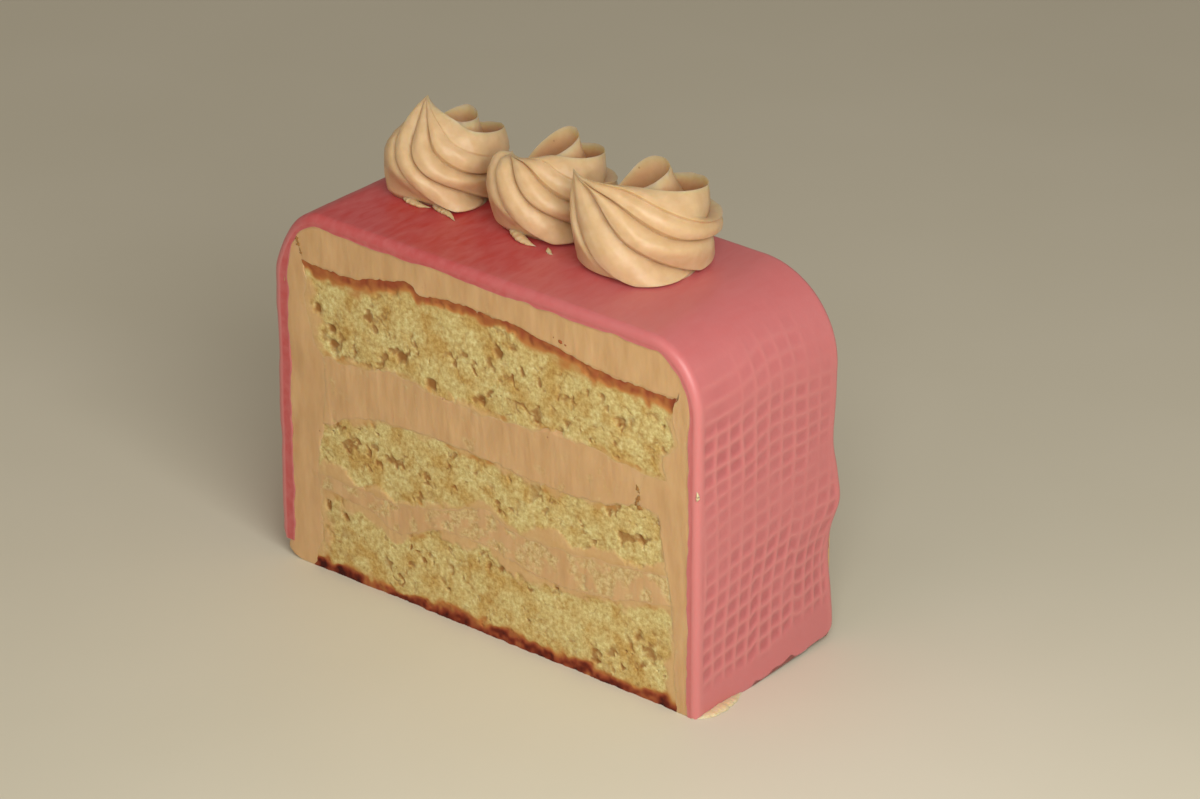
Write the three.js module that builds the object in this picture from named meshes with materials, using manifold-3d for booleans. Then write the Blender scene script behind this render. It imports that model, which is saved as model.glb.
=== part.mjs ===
// A slice of layer cake: three sponges with buttercream between them, a buttercream coat, a skin of pink
// fondant pressed with a waffle texture on its two ends, and three piped buttercream rosettes on top.
// Millimetres, +Z up. X runs along the slice, Y from the front cut face to the back one, Z = 0 is its foot.
import * as THREE from "three";
import { mergeVertices } from "three/addons/utils/BufferGeometryUtils.js";
import Module from "manifold-3d";

const wasm = await Module();
wasm.setup();

// Driving sizes
const LENGTH = 103.6;
const DEPTH = 42.4;
const BODY_HEIGHT = 75;
const FONDANT = 2.4;
const HALF_DEPTH = DEPTH / 2;
const END_X = LENGTH / 2;

// The fondant's left skirt stops above the foot, and the coat bulges out under it
const LEFT_HEM_Z = 3.6;
const LIP_Z = 1.6;
const LIP_BULGE = 0.5;
const LIP_UNDERCUT = 1.2;

// Rounded shoulders of the fondant as quarter ellipses: the right one opens out towards the back
const LEFT_SHOULDER = { across: 11, down: 17 };
const RIGHT_SHOULDER_FRONT = { across: 12, down: 13.5 };
const RIGHT_SHOULDER_BACK = { across: 18, down: 18 };

// Waffle imprint of the ends: square cells with a pit in each
const CELL = 3.2;
const PIT_DEPTH = 0.5;
const SMOOTH_MARGIN = 2;
const PITTED_COLUMNS = 12;

// Crumb relief of the cut sponge faces
const CRUMB_DENT = 0.7;

// Rosettes: a hollow sinks between the last rib and the first, and a well is deepest at this share of the
// slope above its rib
const HOLLOW_DEPTH = 8;
const WELL_SHARE = 0.12;
const ROSETTE_GAP = 0.3;

const COLOURS = {
  sponge: 0xcdb066,
  cream: 0xd7b07c,
  coat: 0xd2aa76,
  fondant: 0xd2686c,
  rosette: 0xe2bd8e,
};

// A repeatable random number from 0 to 1 for a pair of counters.
function chance(i, j, seed) {
  const wave = Math.sin(i * 12.9898 + j * 78.233 + seed * 37.719) * 43758.5453;
  return wave - Math.floor(wave);
}

const clamp01 = (v) => Math.min(1, Math.max(0, v));
const mix = (a, b, t) => a + (b - a) * t;

// Collects triangles of one closed solid from grids and caps, then merges them into one geometry.
class Shell {
  constructor() {
    this.corners = [];
  }

  triangle(a, b, c, flip) {
    this.corners.push(...a, ...(flip ? c : b), ...(flip ? b : c));
  }

  // A grid of points, rows[i][j]; a pit, where given, returns a centre point for a cell or null.
  grid(rows, flip = false, pit = () => null) {
    for (let i = 0; i + 1 < rows.length; i++)
      for (let j = 0; j + 1 < rows[i].length; j++) {
        const [a, b, c, d] = [rows[i][j], rows[i + 1][j], rows[i + 1][j + 1], rows[i][j + 1]];
        const centre = pit(i, j, a, c);
        if (centre) {
          this.triangle(a, b, centre, flip);
          this.triangle(b, c, centre, flip);
          this.triangle(c, d, centre, flip);
          this.triangle(d, a, centre, flip);
        } else {
          this.triangle(a, b, c, flip);
          this.triangle(a, c, d, flip);
        }
      }
  }

  // A flat face bounded by a loop of points, triangulated in the plane of two of their coordinates.
  cap(loop, u, v, flip = false) {
    const flat = loop.map((p) => new THREE.Vector2(p[u], p[v]));
    for (const [a, b, c] of THREE.ShapeUtils.triangulateShape(flat, []))
      this.triangle(loop[a], loop[b], loop[c], flip);
  }

  geometry() {
    const loose = new THREE.BufferGeometry();
    loose.setAttribute("position", new THREE.Float32BufferAttribute(this.corners, 3));
    return mergeVertices(loose, 1e-4);
  }
}

function solidOf(geometry) {
  return new wasm.Manifold(
    new wasm.Mesh({
      numProp: 3,
      vertProperties: geometry.attributes.position.array,
      triVerts: new Uint32Array(geometry.index.array),
    }),
  );
}

function geometryOf(solid) {
  const { vertProperties, triVerts } = solid.getMesh();
  return new THREE.BufferGeometry()
    .setAttribute("position", new THREE.BufferAttribute(vertProperties, 3))
    .setIndex(new THREE.BufferAttribute(triVerts, 1));
}

function mesh(name, geometry, colour, roughness) {
  geometry.computeVertexNormals();
  const material = new THREE.MeshStandardMaterial({ color: colour, roughness, metalness: 0 });
  const made = new THREE.Mesh(geometry, material);
  made.name = name;
  return made;
}

// The skin's outline at depth y, set in from the outer face, as [x, z] from the left hem to the right foot.
function skinOutline(y, inset, wallSteps, shoulderSteps, topSteps) {
  const back = (y + HALF_DEPTH) / DEPTH;
  const right = {
    across: mix(RIGHT_SHOULDER_FRONT.across, RIGHT_SHOULDER_BACK.across, back),
    down: mix(RIGHT_SHOULDER_FRONT.down, RIGHT_SHOULDER_BACK.down, back),
  };
  const leftZ = BODY_HEIGHT - LEFT_SHOULDER.down;
  const rightZ = BODY_HEIGHT - right.down;
  const leftX = -END_X + LEFT_SHOULDER.across;
  const rightX = END_X - right.across;
  const points = [];
  for (let i = 0; i < wallSteps; i++)
    points.push([-END_X + inset, mix(LEFT_HEM_Z, leftZ, i / wallSteps)]);
  for (let i = 0; i < shoulderSteps; i++) {
    const angle = (i / shoulderSteps) * (Math.PI / 2);
    points.push([
      leftX - (LEFT_SHOULDER.across - inset) * Math.cos(angle),
      leftZ + (LEFT_SHOULDER.down - inset) * Math.sin(angle),
    ]);
  }
  for (let i = 0; i < topSteps; i++)
    points.push([mix(leftX, rightX, i / topSteps), BODY_HEIGHT - inset]);
  for (let i = 0; i < shoulderSteps; i++) {
    const angle = (1 - i / shoulderSteps) * (Math.PI / 2);
    points.push([
      rightX + (right.across - inset) * Math.cos(angle),
      rightZ + (right.down - inset) * Math.sin(angle),
    ]);
  }
  for (let i = 0; i <= wallSteps; i++)
    points.push([END_X - inset, mix(rightZ, 0, i / wallSteps)]);
  return points;
}

// Rows of 3-D points of a skin outline at each depth.
function skinRows(depths, outlineAt) {
  const outlines = depths.map(outlineAt);
  return outlines[0].map((_, i) => outlines.map((outline, j) => [outline[i][0], depths[j], outline[i][1]]));
}

// The face that the fondant and the coat share has few steps, the same for both.
const INNER = { wall: 5, shoulder: 6, top: 4 };
const INNER_DEPTHS = [-HALF_DEPTH, 0, HALF_DEPTH];
const innerRows = skinRows(INNER_DEPTHS, (y) =>
  skinOutline(y, FONDANT, INNER.wall, INNER.shoulder, INNER.top),
);

const column = (rows, j) => rows.map((row) => row[j]);
const lastOf = (list) => list[list.length - 1];

// Fondant: an arch-shaped skin over the top and both ends, open at the two cut faces, with pitted walls.
function fondant() {
  const wallSteps = Math.round((BODY_HEIGHT - LEFT_SHOULDER.down) / CELL);
  const shoulderSteps = 5;
  const topSteps = 4;
  const pitsHalf = HALF_DEPTH - SMOOTH_MARGIN;
  const depths = [-HALF_DEPTH];
  for (let j = 0; j <= PITTED_COLUMNS; j++)
    depths.push(mix(-pitsHalf, pitsHalf, j / PITTED_COLUMNS));
  depths.push(HALF_DEPTH);
  const outer = skinRows(depths, (y) => skinOutline(y, 0, wallSteps, shoulderSteps, topSteps));

  const lastRow = outer.length - 2;
  const pitted = (i, j, a, c) => {
    const fromFoot = Math.min(i, lastRow - i);
    if (j === 0 || j > PITTED_COLUMNS || fromFoot === 0 || fromFoot > wallSteps) return null;
    const fade = fromFoot === wallSteps ? 0.5 : 1;
    const inward = i < lastRow / 2 ? 1 : -1;
    return [(a[0] + c[0]) / 2 + inward * PIT_DEPTH * fade, (a[1] + c[1]) / 2, (a[2] + c[2]) / 2];
  };

  const shell = new Shell();
  shell.grid(outer, false, pitted);
  shell.grid(innerRows, true);
  shell.cap([...column(outer, 0), ...column(innerRows, 0).reverse()], 0, 2);
  const back = depths.length - 1;
  shell.cap([...column(outer, back), ...column(innerRows, 2).reverse()], 0, 2, true);
  shell.cap([...outer[0], ...[...innerRows[0]].reverse()], 0, 1, true);
  shell.cap([...lastOf(outer), ...[...lastOf(innerRows)].reverse()], 0, 1, true);
  return shell.geometry();
}

// Edges of the layers as seen on the cut face, each a smooth curve through [x, z] points, left to right or
// upwards. Neighbouring layers share an edge, so they meet face to face.
function edge(points, steps) {
  const knots = points.map(([x, z]) => new THREE.Vector3(x, 0, z));
  const curve = new THREE.CatmullRomCurve3(knots, false, "centripetal");
  return curve.getPoints(steps).map((p) => [p.x, p.z]);
}

const LAYER_STEPS = 25;
const SIDE_STEPS = 5;
const foot = edge([[-43.6, 0], [47, 0]], LAYER_STEPS);
const lowerCreamBottom = edge(
  [[-41.2, 17.4], [-27.3, 16.4], [-21.4, 14.4], [-12.6, 17.9], [-0.6, 18.8], [19.6, 16.8], [45.8, 21.7]],
  LAYER_STEPS,
);
const lowerCreamTop = edge(
  [[-41.8, 20.4], [-17.4, 21.3], [-7.7, 24.1], [0.9, 26.2], [9.1, 24.1], [30, 25.4], [44.6, 27.6]],
  LAYER_STEPS,
);
const upperCreamBottom = edge(
  [[-40.3, 31.7], [-32, 35.2], [-19, 37.3], [6.7, 36.9], [17.4, 36.4], [27.9, 37.6], [37.3, 40]],
  LAYER_STEPS - 1,
);
const upperCreamTop = edge(
  [[-39.7, 46], [-30.4, 46.4], [-22.6, 48.1], [-12, 47], [6.8, 46.7], [21.8, 48.3], [39, 46.6]],
  LAYER_STEPS - 1,
);
const crown = edge(
  [[-44.8, 65], [-33, 64.7], [-17.3, 68], [-15, 66.4], [-7, 67.6], [8, 67.3], [32.4, 64], [47, 64.4]],
  LAYER_STEPS,
);
const leftSides = {
  bottom: edge([[-43.6, 0], [-42.4, 4], [-41.2, 8], [-41.2, 17.4]], SIDE_STEPS),
  lowerCream: edge([[-41.2, 17.4], [-41.8, 20.4]], 1),
  middle: edge([[-41.8, 20.4], [-41.4, 27], [-40.3, 31.7]], SIDE_STEPS),
  upperCream: edge([[-40.3, 31.7], [-39.3, 39], [-39.7, 46]], 3),
  top: edge([[-39.7, 46], [-41.8, 49], [-44.3, 55.2], [-43.7, 60.6], [-44.8, 65]], SIDE_STEPS),
};
const rightSides = {
  bottom: edge([[47, 0], [46.3, 12], [45.8, 21.7]], SIDE_STEPS),
  lowerCream: edge([[45.8, 21.7], [44.6, 27.6]], 1),
  middle: edge([[44.6, 27.6], [43.6, 33], [42.2, 39.4]], SIDE_STEPS),
  upperCream: edge([[37.3, 40], [37.8, 43.2], [39, 46.6]], 3),
  top: edge([[44.2, 46.9], [43, 50.3], [46.3, 55], [45.6, 61], [47, 64.4]], SIDE_STEPS),
};
// Beyond the upper cream's right end the coat reaches in between the two sponges.
const middleLedge = edge([[37.3, 40], [42.2, 39.4]], 1);
const topLedge = edge([[39, 46.6], [44.2, 46.9]], 1);

// A point inside four edges, each measured by u across and v up: Coons's blend of the edges.
function insideEdges(bottom, top, left, right, i, j) {
  const u = i / (bottom.length - 1);
  const v = j / (left.length - 1);
  return [0, 1].map(
    (n) =>
      mix(bottom[i][n], top[i][n], v) +
      mix(left[j][n], right[j][n], u) -
      mix(mix(bottom[0][n], lastOf(bottom)[n], u), mix(top[0][n], lastOf(top)[n], u), v),
  );
}

// A layer between four edges, run through the whole depth. Both cut faces get inward dents of up to dent.
function layer(bottom, top, left, right, dent, seed) {
  const shell = new Shell();
  for (const side of [-1, 1]) {
    const rows = left.map((_, j) =>
      bottom.map((_, i) => {
        const [x, z] = insideEdges(bottom, top, left, right, i, j);
        const inside = i > 0 && j > 0 && i < bottom.length - 1 && j < left.length - 1;
        const sunk = inside ? dent * chance(i, j, seed + side) : 0;
        return [x, side * (HALF_DEPTH - sunk), z];
      }),
    );
    shell.grid(rows, side === -1);
  }
  const loop = [...bottom, ...right.slice(1), ...top.slice(0, -1).reverse(), ...left.slice(1, -1).reverse()];
  loop.push(loop[0]);
  shell.grid(loop.map(([x, z]) => [[x, -HALF_DEPTH, z], [x, HALF_DEPTH, z]]), true);
  return shell.geometry();
}

// Buttercream coat: fills the space between the stack of layers and the fondant, out to its lower left lip.
function coat() {
  const wallX = -END_X + FONDANT;
  const lip = [[wallX + LIP_UNDERCUT, 0], [wallX - LIP_BULGE, LIP_Z]];
  const lipRows = lip.map(([x, z]) => INNER_DEPTHS.map((y) => [x, y, z]));
  const outer = [...lipRows, ...innerRows];
  const stack = [
    ...leftSides.bottom,
    ...leftSides.lowerCream.slice(1),
    ...leftSides.middle.slice(1),
    ...leftSides.upperCream.slice(1),
    ...leftSides.top.slice(1),
    ...crown.slice(1),
    ...rightSides.top.slice(0, -1).reverse(),
    ...topLedge.slice(0, -1).reverse(),
    ...rightSides.upperCream.slice(0, -1).reverse(),
    ...middleLedge.slice(1),
    ...rightSides.middle.slice(0, -1).reverse(),
    ...rightSides.lowerCream.slice(0, -1).reverse(),
    ...rightSides.bottom.slice(0, -1).reverse(),
  ];
  const inner = stack.map(([x, z]) => [[x, -HALF_DEPTH, z], [x, HALF_DEPTH, z]]);
  const shell = new Shell();
  shell.grid(outer, false);
  shell.grid(inner, true);
  shell.cap([...column(outer, 0), ...column(inner, 0).reverse()], 0, 2);
  shell.cap([...column(outer, 2), ...column(inner, 1).reverse()], 0, 2, true);
  shell.cap([...outer[0], ...[...inner[0]].reverse()], 0, 1, true);
  shell.cap([...lastOf(outer), ...[...lastOf(inner)].reverse()], 0, 1, true);
  return shell.geometry();
}

// The seven ribs of a piped rosette fan out from its peak and wind round it down to the foot. Each rib lands
// so many degrees round from the peak's side. At quarters of its way it stands at these shares of the
// rosette's height and this far out from the axis. The slope above a rib swells out, then turns in to a
// crease close under the next rib: both depths are in millimetres, and width is the share of the slope that
// the crease's underside takes. A recess draws the foot in. A well sinks beside the ribs round the hollows.
const RIBS = [
  {
    lands: 18, up: [1, 0.94, 0.75, 0.4, 0], out: [12.4, 13, 13.3, 12.8, 12],
    crease: 2.2, width: 0.1, swell: 0.4,
  },
  {
    lands: 130, up: [1, 0.7, 0.39, 0.12, 0], out: [12.4, 12.7, 13.5, 13.6, 14.3],
    crease: 2.6, width: 0.13, swell: 0.6,
  },
  {
    lands: 162, up: [1, 0.85, 0.49, 0.23, 0], out: [12.4, 11.5, 13.3, 12.6, 13.5],
    crease: 2.4, width: 0.14, swell: 0.6,
  },
  {
    lands: 250, up: [1, 0.88, 0.48, 0.31, 0], out: [12.4, 11, 13.3, 15, 12.8],
    crease: 1.2, width: 0.1, swell: 0.5,
  },
  {
    lands: 310, up: [1, 0.97, 0.57, 0.43, 0], out: [12.4, 9.5, 14.8, 14.2, 12.6],
    swell: 0.2, well: { depth: 2.4, tilt: 0.1, opens: 0.4, closes: 0.8, bend: 1 },
  },
  {
    lands: 340, up: [1, 0.97, 0.86, 0.62, 0], out: [12.4, 7.4, 12.2, 12.4, 12],
    well: { depth: 5.5, tilt: 0.9, opens: 0.1, closes: 0.95, bend: 2.2 },
  },
  { lands: 360, up: [1, 0.9, 1.01, 0.93, 0], out: [12.4, 5, 5.3, 6.2, 12] },
];

// Steps down the ribs, crowded towards the peak by this power, and steps up each slope
const RIB_STEPS = 18;
const PEAK_CROWDING = 1.3;
const SLOPE_STEPS = 7;

// Creases and wells are pressed in towards a point low inside the rosette, mostly sideways
const HEART = new THREE.Vector3(-3, 0, 6);
const SIDEWAYS = new THREE.Vector3(1, 1, 0.6);

// The foot is tucked in under the lowest ribs by this share
const TUCK = 0.11;

// The rosettes, left to right, each with what differs in its own ribs. A lean carries the peak towards the
// middle, and a lift raises it.
const PIPING_TURN = THREE.MathUtils.degToRad(39.8);
const ROSETTES = [
  {
    name: "rosette_left", x: -31.3, y: 3, size: 0.9, height: 18, lean: 5.2, lift: 3.7,
    ribs: {
      0: { up: [1, 0.9, 0.66, 0.32, 0], out: [12.4, 12.5, 12, 11.6, 11], recess: 4 },
      1: { lands: 117, up: [1, 0.75, 0.42, 0.15, 0], out: [12.4, 12.4, 12.8, 12.8, 14.3] },
      3: { crease: 0.4 },
      4: { up: [1, 0.92, 0.6, 0.4, 0], well: undefined },
      5: {
        up: [1, 1, 0.83, 0.5, 0], out: [12.4, 7.4, 14, 13.4, 12],
        well: { depth: 5.5, tilt: 0.9, opens: 0.1, closes: 0.85, bend: 2.2 },
      },
      6: { up: [1, 0.97, 0.95, 0.88, 0], out: [12.4, 5, 6.7, 6.2, 11.4] },
    },
  },
  {
    name: "rosette_middle", x: -6, y: 4.6, size: 0.9, height: 19.2, lean: 2.8, lift: -3,
    ribs: {
      0: { up: [1, 0.85, 0.64, 0.32, 0], out: [12.4, 12.8, 12.8, 12, 10.2], recess: 2.6 },
      1: { lands: 107, up: [1, 0.8, 0.37, 0.14, 0], out: [12.4, 13.1, 13.1, 13, 13] },
      3: { crease: 0.6 },
      4: { up: [1, 0.94, 0.57, 0.43, 0] },
      6: { out: [12.4, 5, 5.3, 6.2, 9.8] },
    },
  },
  {
    name: "rosette_right", x: 17.8, y: 3.8, size: 1, height: 18, lean: 0, lift: 0,
    ribs: {
      0: { up: [1, 0.76, 0.55, 0.28, 0], recess: 1 },
      1: { lands: 95, up: [1, 0.59, 0.29, 0.09, 0], out: [12.4, 12.9, 13.6, 13.8, 13.9] },
      2: { up: [1, 0.87, 0.46, 0.16, 0] },
    },
  },
];

// Catmull-Rom value at t from 0 to 1 through evenly spaced values.
function through(values, t) {
  const last = values.length - 1;
  const i = Math.min(last - 1, Math.floor(t * last));
  const f = t * last - i;
  const at = (n) => values[Math.min(last, Math.max(0, n))];
  const [a, b, c, d] = [at(i - 1), at(i), at(i + 1), at(i + 2)];
  return 0.5 * (2 * b + (c - a) * f + (2 * a - 5 * b + 4 * c - d) * f * f + (3 * b - a - 3 * c + d) * f ** 3);
}

const polar = (degrees, out, z) => {
  const angle = THREE.MathUtils.degToRad(degrees);
  return new THREE.Vector3(-out * Math.cos(angle), -out * Math.sin(angle), z);
};

const ease = (t) => clamp01(t) ** 2 * (3 - 2 * clamp01(t));

// Steps up the slope above a rib: one at the bottom of the well, the rest evenly above it to the crease.
function slopeShare(rib, j) {
  if (j < 2) return j * WELL_SHARE;
  return mix(WELL_SHARE, 1 - (rib.width ?? 0.1), (j - 1) / (SLOPE_STEPS - 2));
}

// How far the slope above a rib is pressed in: a crease close under the next rib, less a swelling below it.
// Both are shallower where the ribs run close together, and the crease fades out towards the peak.
function creasedIn({ crease = 0, width = 0.1, swell = 0 }, way, share, apart) {
  const rise = clamp01(share / (1 - width));
  const deep = crease && crease * Math.tanh((0.6 * apart) / crease) * ease((way + 0.03) / 0.3);
  const out = swell * Math.tanh(apart / 4) * Math.sin(Math.PI * rise);
  return (share > 1 - width ? (1 - share) / width : rise ** 3) * deep - out;
}

// How far a well is pressed in. It opens and closes along the way, and is deepest just above its rib.
function wellDepth({ depth, opens, closes, bend }, way, share) {
  const climb = clamp01((share - WELL_SHARE) / (1 - WELL_SHARE));
  const across = share < WELL_SHARE ? share / WELL_SHARE : 1 - climb ** bend;
  const open = ease((way - opens) / 0.15) * ease((closes - way) / 0.15);
  return depth * across * open;
}

// How far the hollow between the last rib and the first sinks, from just below the peak to near the foot.
function hollowDepth(way, share) {
  const across = Math.max(0, Math.sin(Math.PI * share ** 0.33)) ** 0.8;
  return HOLLOW_DEPTH * across * ease((way + 0.03) / 0.38) * clamp01((0.92 - way) / 0.25);
}

// How far a point is pulled sideways by the rosette's lean: most at the peak, hardly at half its height.
const leanPull = (p, height, lean) => lean * Math.min(1.1, p.z / height) ** 5 * (1 - p.x / 12);

// A point of the rosette: way along rib k from peak to foot, and share of the slope up to the next rib.
function rosettePoint(ribs, k, way, share, { height, lean }) {
  const rib = ribs[k];
  const place = (r) => [way * r.lands, through(r.out, way), height * through(r.up, way)];
  const low = place(rib);
  const high = place(ribs[(k + 1) % ribs.length]);
  const point = new THREE.Vector3();
  if (k < ribs.length - 1) {
    point.copy(polar(...low.map((v, n) => mix(v, high[n], share))));
    const tilt = rib.well?.tilt ?? 0;
    const inward = HEART.clone().sub(point).multiply(SIDEWAYS).normalize().multiplyScalar(1 - tilt);
    inward.z -= tilt;
    const apart = polar(...low).distanceTo(polar(...high));
    const pressed = creasedIn(rib, way, share, apart) + (rib.well ? wellDepth(rib.well, way, share) : 0);
    const landed = 0.4 + 0.6 * Math.sqrt(clamp01((1 - way) / 0.1));
    point.x += leanPull(point, height, lean);
    point.addScaledVector(inward.normalize(), pressed * landed);
  } else {
    point.copy(polar(...low).lerp(polar(...high), share));
    point.x += leanPull(point, height, lean);
    point.z -= hollowDepth(way, share);
  }
  const recess = ((rib.recess ?? 0) / 13) * Math.sin(Math.PI * share) * ease((way - 0.55) / 0.45);
  const drawn = (1 - recess) * (1 - TUCK * ease((way - 0.9) / 0.1));
  point.z = way === 1 ? 0 : Math.max(0, point.z);
  return point.multiply(new THREE.Vector3(drawn, drawn, 1));
}

// The rosette is put in its place, with its peak raised by the lift.
function rosette(spec) {
  const { x, y, size, lift } = spec;
  const ribs = RIBS.map((rib, k) => ({ ...rib, ...spec.ribs[k] }));
  const placed = (p, way) => {
    const raised = p.z + lift * Math.exp(-((way / 0.16) ** 2));
    const turned = new THREE.Vector3(p.x, p.y, raised).multiplyScalar(size);
    turned.applyAxisAngle(new THREE.Vector3(0, 0, 1), PIPING_TURN);
    return [turned.x + x, turned.y + y, turned.z + BODY_HEIGHT];
  };
  const rings = [];
  for (let i = 1; i <= RIB_STEPS; i++) {
    const way = (i / RIB_STEPS) ** PEAK_CROWDING;
    const ring = [];
    for (let k = 0; k < ribs.length; k++)
      for (let j = 0; j < SLOPE_STEPS; j++)
        ring.push(placed(rosettePoint(ribs, k, way, slopeShare(ribs[k], j), spec), way));
    rings.push([...ring, ring[0]]);
  }
  const shell = new Shell();
  shell.grid(rings, false);
  const peak = placed(rosettePoint(ribs, 0, 0, 0, spec), 0);
  const middle = [x, y, BODY_HEIGHT];
  const base = lastOf(rings);
  for (let j = 0; j + 1 < base.length; j++) {
    shell.triangle(peak, rings[0][j], rings[0][j + 1], false);
    shell.triangle(middle, base[j + 1], base[j], false);
  }
  return shell.geometry();
}

// Rosettes that press against each other are trimmed flat where they meet.
function trimmedRosettes() {
  return ROSETTES.map((spec, n) => {
    let solid = solidOf(rosette(spec));
    for (const other of [ROSETTES[n - 1], ROSETTES[n + 1]]) {
      if (!other) continue;
      const towards = Math.sign(other.x - spec.x);
      const meet = mix(spec.x, other.x, spec.size / (spec.size + other.size));
      solid = solid.trimByPlane([-towards, 0, 0], -towards * (meet - (towards * ROSETTE_GAP) / 2));
    }
    return mesh(spec.name, geometryOf(solid), COLOURS.rosette, 0.45);
  });
}

// The layers from the foot up, each between two long edges and two sides. The two upper sponges reach past
// the cream between them along a ledge.
const LAYERS = [
  { name: "sponge_bottom", below: foot, above: lowerCreamBottom, side: "bottom", sponge: true },
  { name: "filling_lower", below: lowerCreamBottom, above: lowerCreamTop, side: "lowerCream" },
  {
    name: "sponge_middle",
    below: lowerCreamTop,
    above: [...upperCreamBottom, ...middleLedge.slice(1)],
    side: "middle",
    sponge: true,
  },
  { name: "filling_upper", below: upperCreamBottom, above: upperCreamTop, side: "upperCream" },
  {
    name: "sponge_top",
    below: [...upperCreamTop, ...topLedge.slice(1)],
    above: crown,
    side: "top",
    sponge: true,
  },
];

const cake = new THREE.Group();
LAYERS.forEach(({ name, below, above, side, sponge }, n) => {
  const dent = sponge ? CRUMB_DENT : 0;
  const geometry = layer(below, above, leftSides[side], rightSides[side], dent, n);
  cake.add(mesh(name, geometry, sponge ? COLOURS.sponge : COLOURS.cream, sponge ? 0.9 : 0.5));
});
cake.add(mesh("buttercream_coat", coat(), COLOURS.coat, 0.5));
cake.add(mesh("fondant", fondant(), COLOURS.fondant, 0.45));
cake.add(...trimmedRosettes());

export default cake;
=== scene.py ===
"""A slice of layer cake: three sponges with buttercream between them, a buttercream coat, a skin of pink
fondant pressed with a waffle texture, and three piped rosettes. Shapes are worked out in millimetres and put
into the meshes in metres. X runs along the slice, Y from the front cut face to the back one, Z is up."""

import math

import bpy
import numpy as np
from mathutils import Matrix, Vector


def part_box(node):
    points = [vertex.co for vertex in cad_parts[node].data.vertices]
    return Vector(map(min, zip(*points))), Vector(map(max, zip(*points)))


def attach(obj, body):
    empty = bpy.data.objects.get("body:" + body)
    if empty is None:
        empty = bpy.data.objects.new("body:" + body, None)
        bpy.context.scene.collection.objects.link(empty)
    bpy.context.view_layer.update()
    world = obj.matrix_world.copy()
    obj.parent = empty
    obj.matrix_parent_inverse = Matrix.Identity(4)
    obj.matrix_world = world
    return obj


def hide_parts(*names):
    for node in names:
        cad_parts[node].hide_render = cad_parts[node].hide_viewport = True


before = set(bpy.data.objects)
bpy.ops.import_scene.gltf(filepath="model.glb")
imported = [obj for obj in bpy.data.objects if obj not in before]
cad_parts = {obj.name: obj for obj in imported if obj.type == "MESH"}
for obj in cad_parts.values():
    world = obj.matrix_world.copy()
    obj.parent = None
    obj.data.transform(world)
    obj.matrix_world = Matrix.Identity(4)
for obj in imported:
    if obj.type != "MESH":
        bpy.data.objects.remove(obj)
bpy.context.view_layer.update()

MM = 0.001

# The body's sizes come from the frame: half its length and depth, its height and the fondant's thickness.
END_X, HALF_DEPTH, TOP_Z = np.array(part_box("fondant")[1]) / MM
FONDANT = END_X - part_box("buttercream_coat")[1].x / MM

# Rounded shoulders of the fondant, across and down; the right one opens out towards the back.
LEFT_SHOULDER = (11, 17)
RIGHT_SHOULDER_FRONT = (12, 13.5)
RIGHT_SHOULDER_BACK = (18, 18)
LEFT_HEM_Z = 3.6

# Up to this height the skin looks like the end walls, and above it like the top.
WALLS_TOP_Z = 70

# Waffle imprint: square cells with soft pits between low ridges, and a smooth margin at each cut. It sits
# lower on the left end.
CELL = 3.33
PIT_DEPTH = 0.26
SMOOTH_MARGIN = 1.9
LEFT_LOWER = 5

# The coat's rim lies this far out under the fondant, past its inner face. Creams reach this far in under
# the sponges that they touch, this much deeper than where they show, and fillings reach into the coat.
TUCKED_UNDER = 0.5
UNDER_SPONGE = 0.8
UNDER_DEPTH = 0.4
INTO_COAT = 1.4

# Columns and rows of the cut faces' meshes, steps across the coat and the fondant's cut edge, and how finely
# points are told apart when they are welded
SPONGE_MESH = (400, 92)
FILLING_MESH = (340, 44)
COAT_STEPS = 25
CUT_STEPS = 5
WELDS_PER_MM = 1000

# Larger holes torn open in the front cut face: X, Z and radius
HOLES = [
    (-20, 51.9, 1.3), (4.1, 60.4, 1.1), (-37.4, 49.3, 1.3), (-41.3, 55.4, 1.1), (-37.8, 52.3, 0.8),
    (-12.6, 48.6, 1.1), (15.6, 47.6, 0.9), (-14.4, 18.4, 0.8), (-39.6, 14.2, 1), (-35.1, 13.2, 0.8),
    (38.3, 33, 0.9), (17.9, 15.9, 0.8),
]

# A soiled patch at the left of the lowest sponge: X and Z of its middle, and its half width and height
SOILED = (-38, 8, 4.5, 5)

FRONT = -1
BACK = 1


# Random numbers and noise on whole arrays

def scatter(*counters):
    """Repeatable random numbers from 0 to 1 for whole counters: the sine of their mixed sum, much enlarged,
    without its whole part."""
    mixed = sum(c * k for c, k in zip(counters, (12.9898, 78.233, 37.719)))
    return np.abs(np.sin(mixed) * 43758.5453) % 1


def ease(t):
    """Smooth step: 0 below 0, 1 above 1, and three times the square less twice the cube between."""
    t = np.clip(t, 0, 1)
    return t * t * (3 - 2 * t)


def bell(t):
    """Smooth hump: the exponential of minus the square, 1 at 0 and close to 0 past 2 on both sides."""
    return np.exp(-(t**2))


def blend(a, b, share):
    """From a at share 0 to b at share 1."""
    return a * (1 - share) + b * share


def unit(vectors):
    """The same directions at length 1; the last axis holds a vector's parts."""
    return vectors / np.linalg.norm(vectors, axis=-1, keepdims=True)


def noise(x, z, size, seed):
    """Smooth noise from -1 to 1: a random value at each corner of a lattice of squares, blended inside them
    by eased shares."""
    u, v = x / size, z / size
    i, j = np.floor(u), np.floor(v)
    f, g = ease(u - i), ease(v - j)
    low = blend(scatter(i, j, seed), scatter(i + 1, j, seed), f)
    high = blend(scatter(i, j + 1, seed), scatter(i + 1, j + 1, seed), f)
    return 2 * blend(low, high, g) - 1


def rough(x, z, size, octaves, seed):
    """Noise of one size, plus half as much of half that size, and so on."""
    return sum(noise(x, z, size / 2**k, seed + 5 * k) / 2**k for k in range(octaves))


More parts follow.
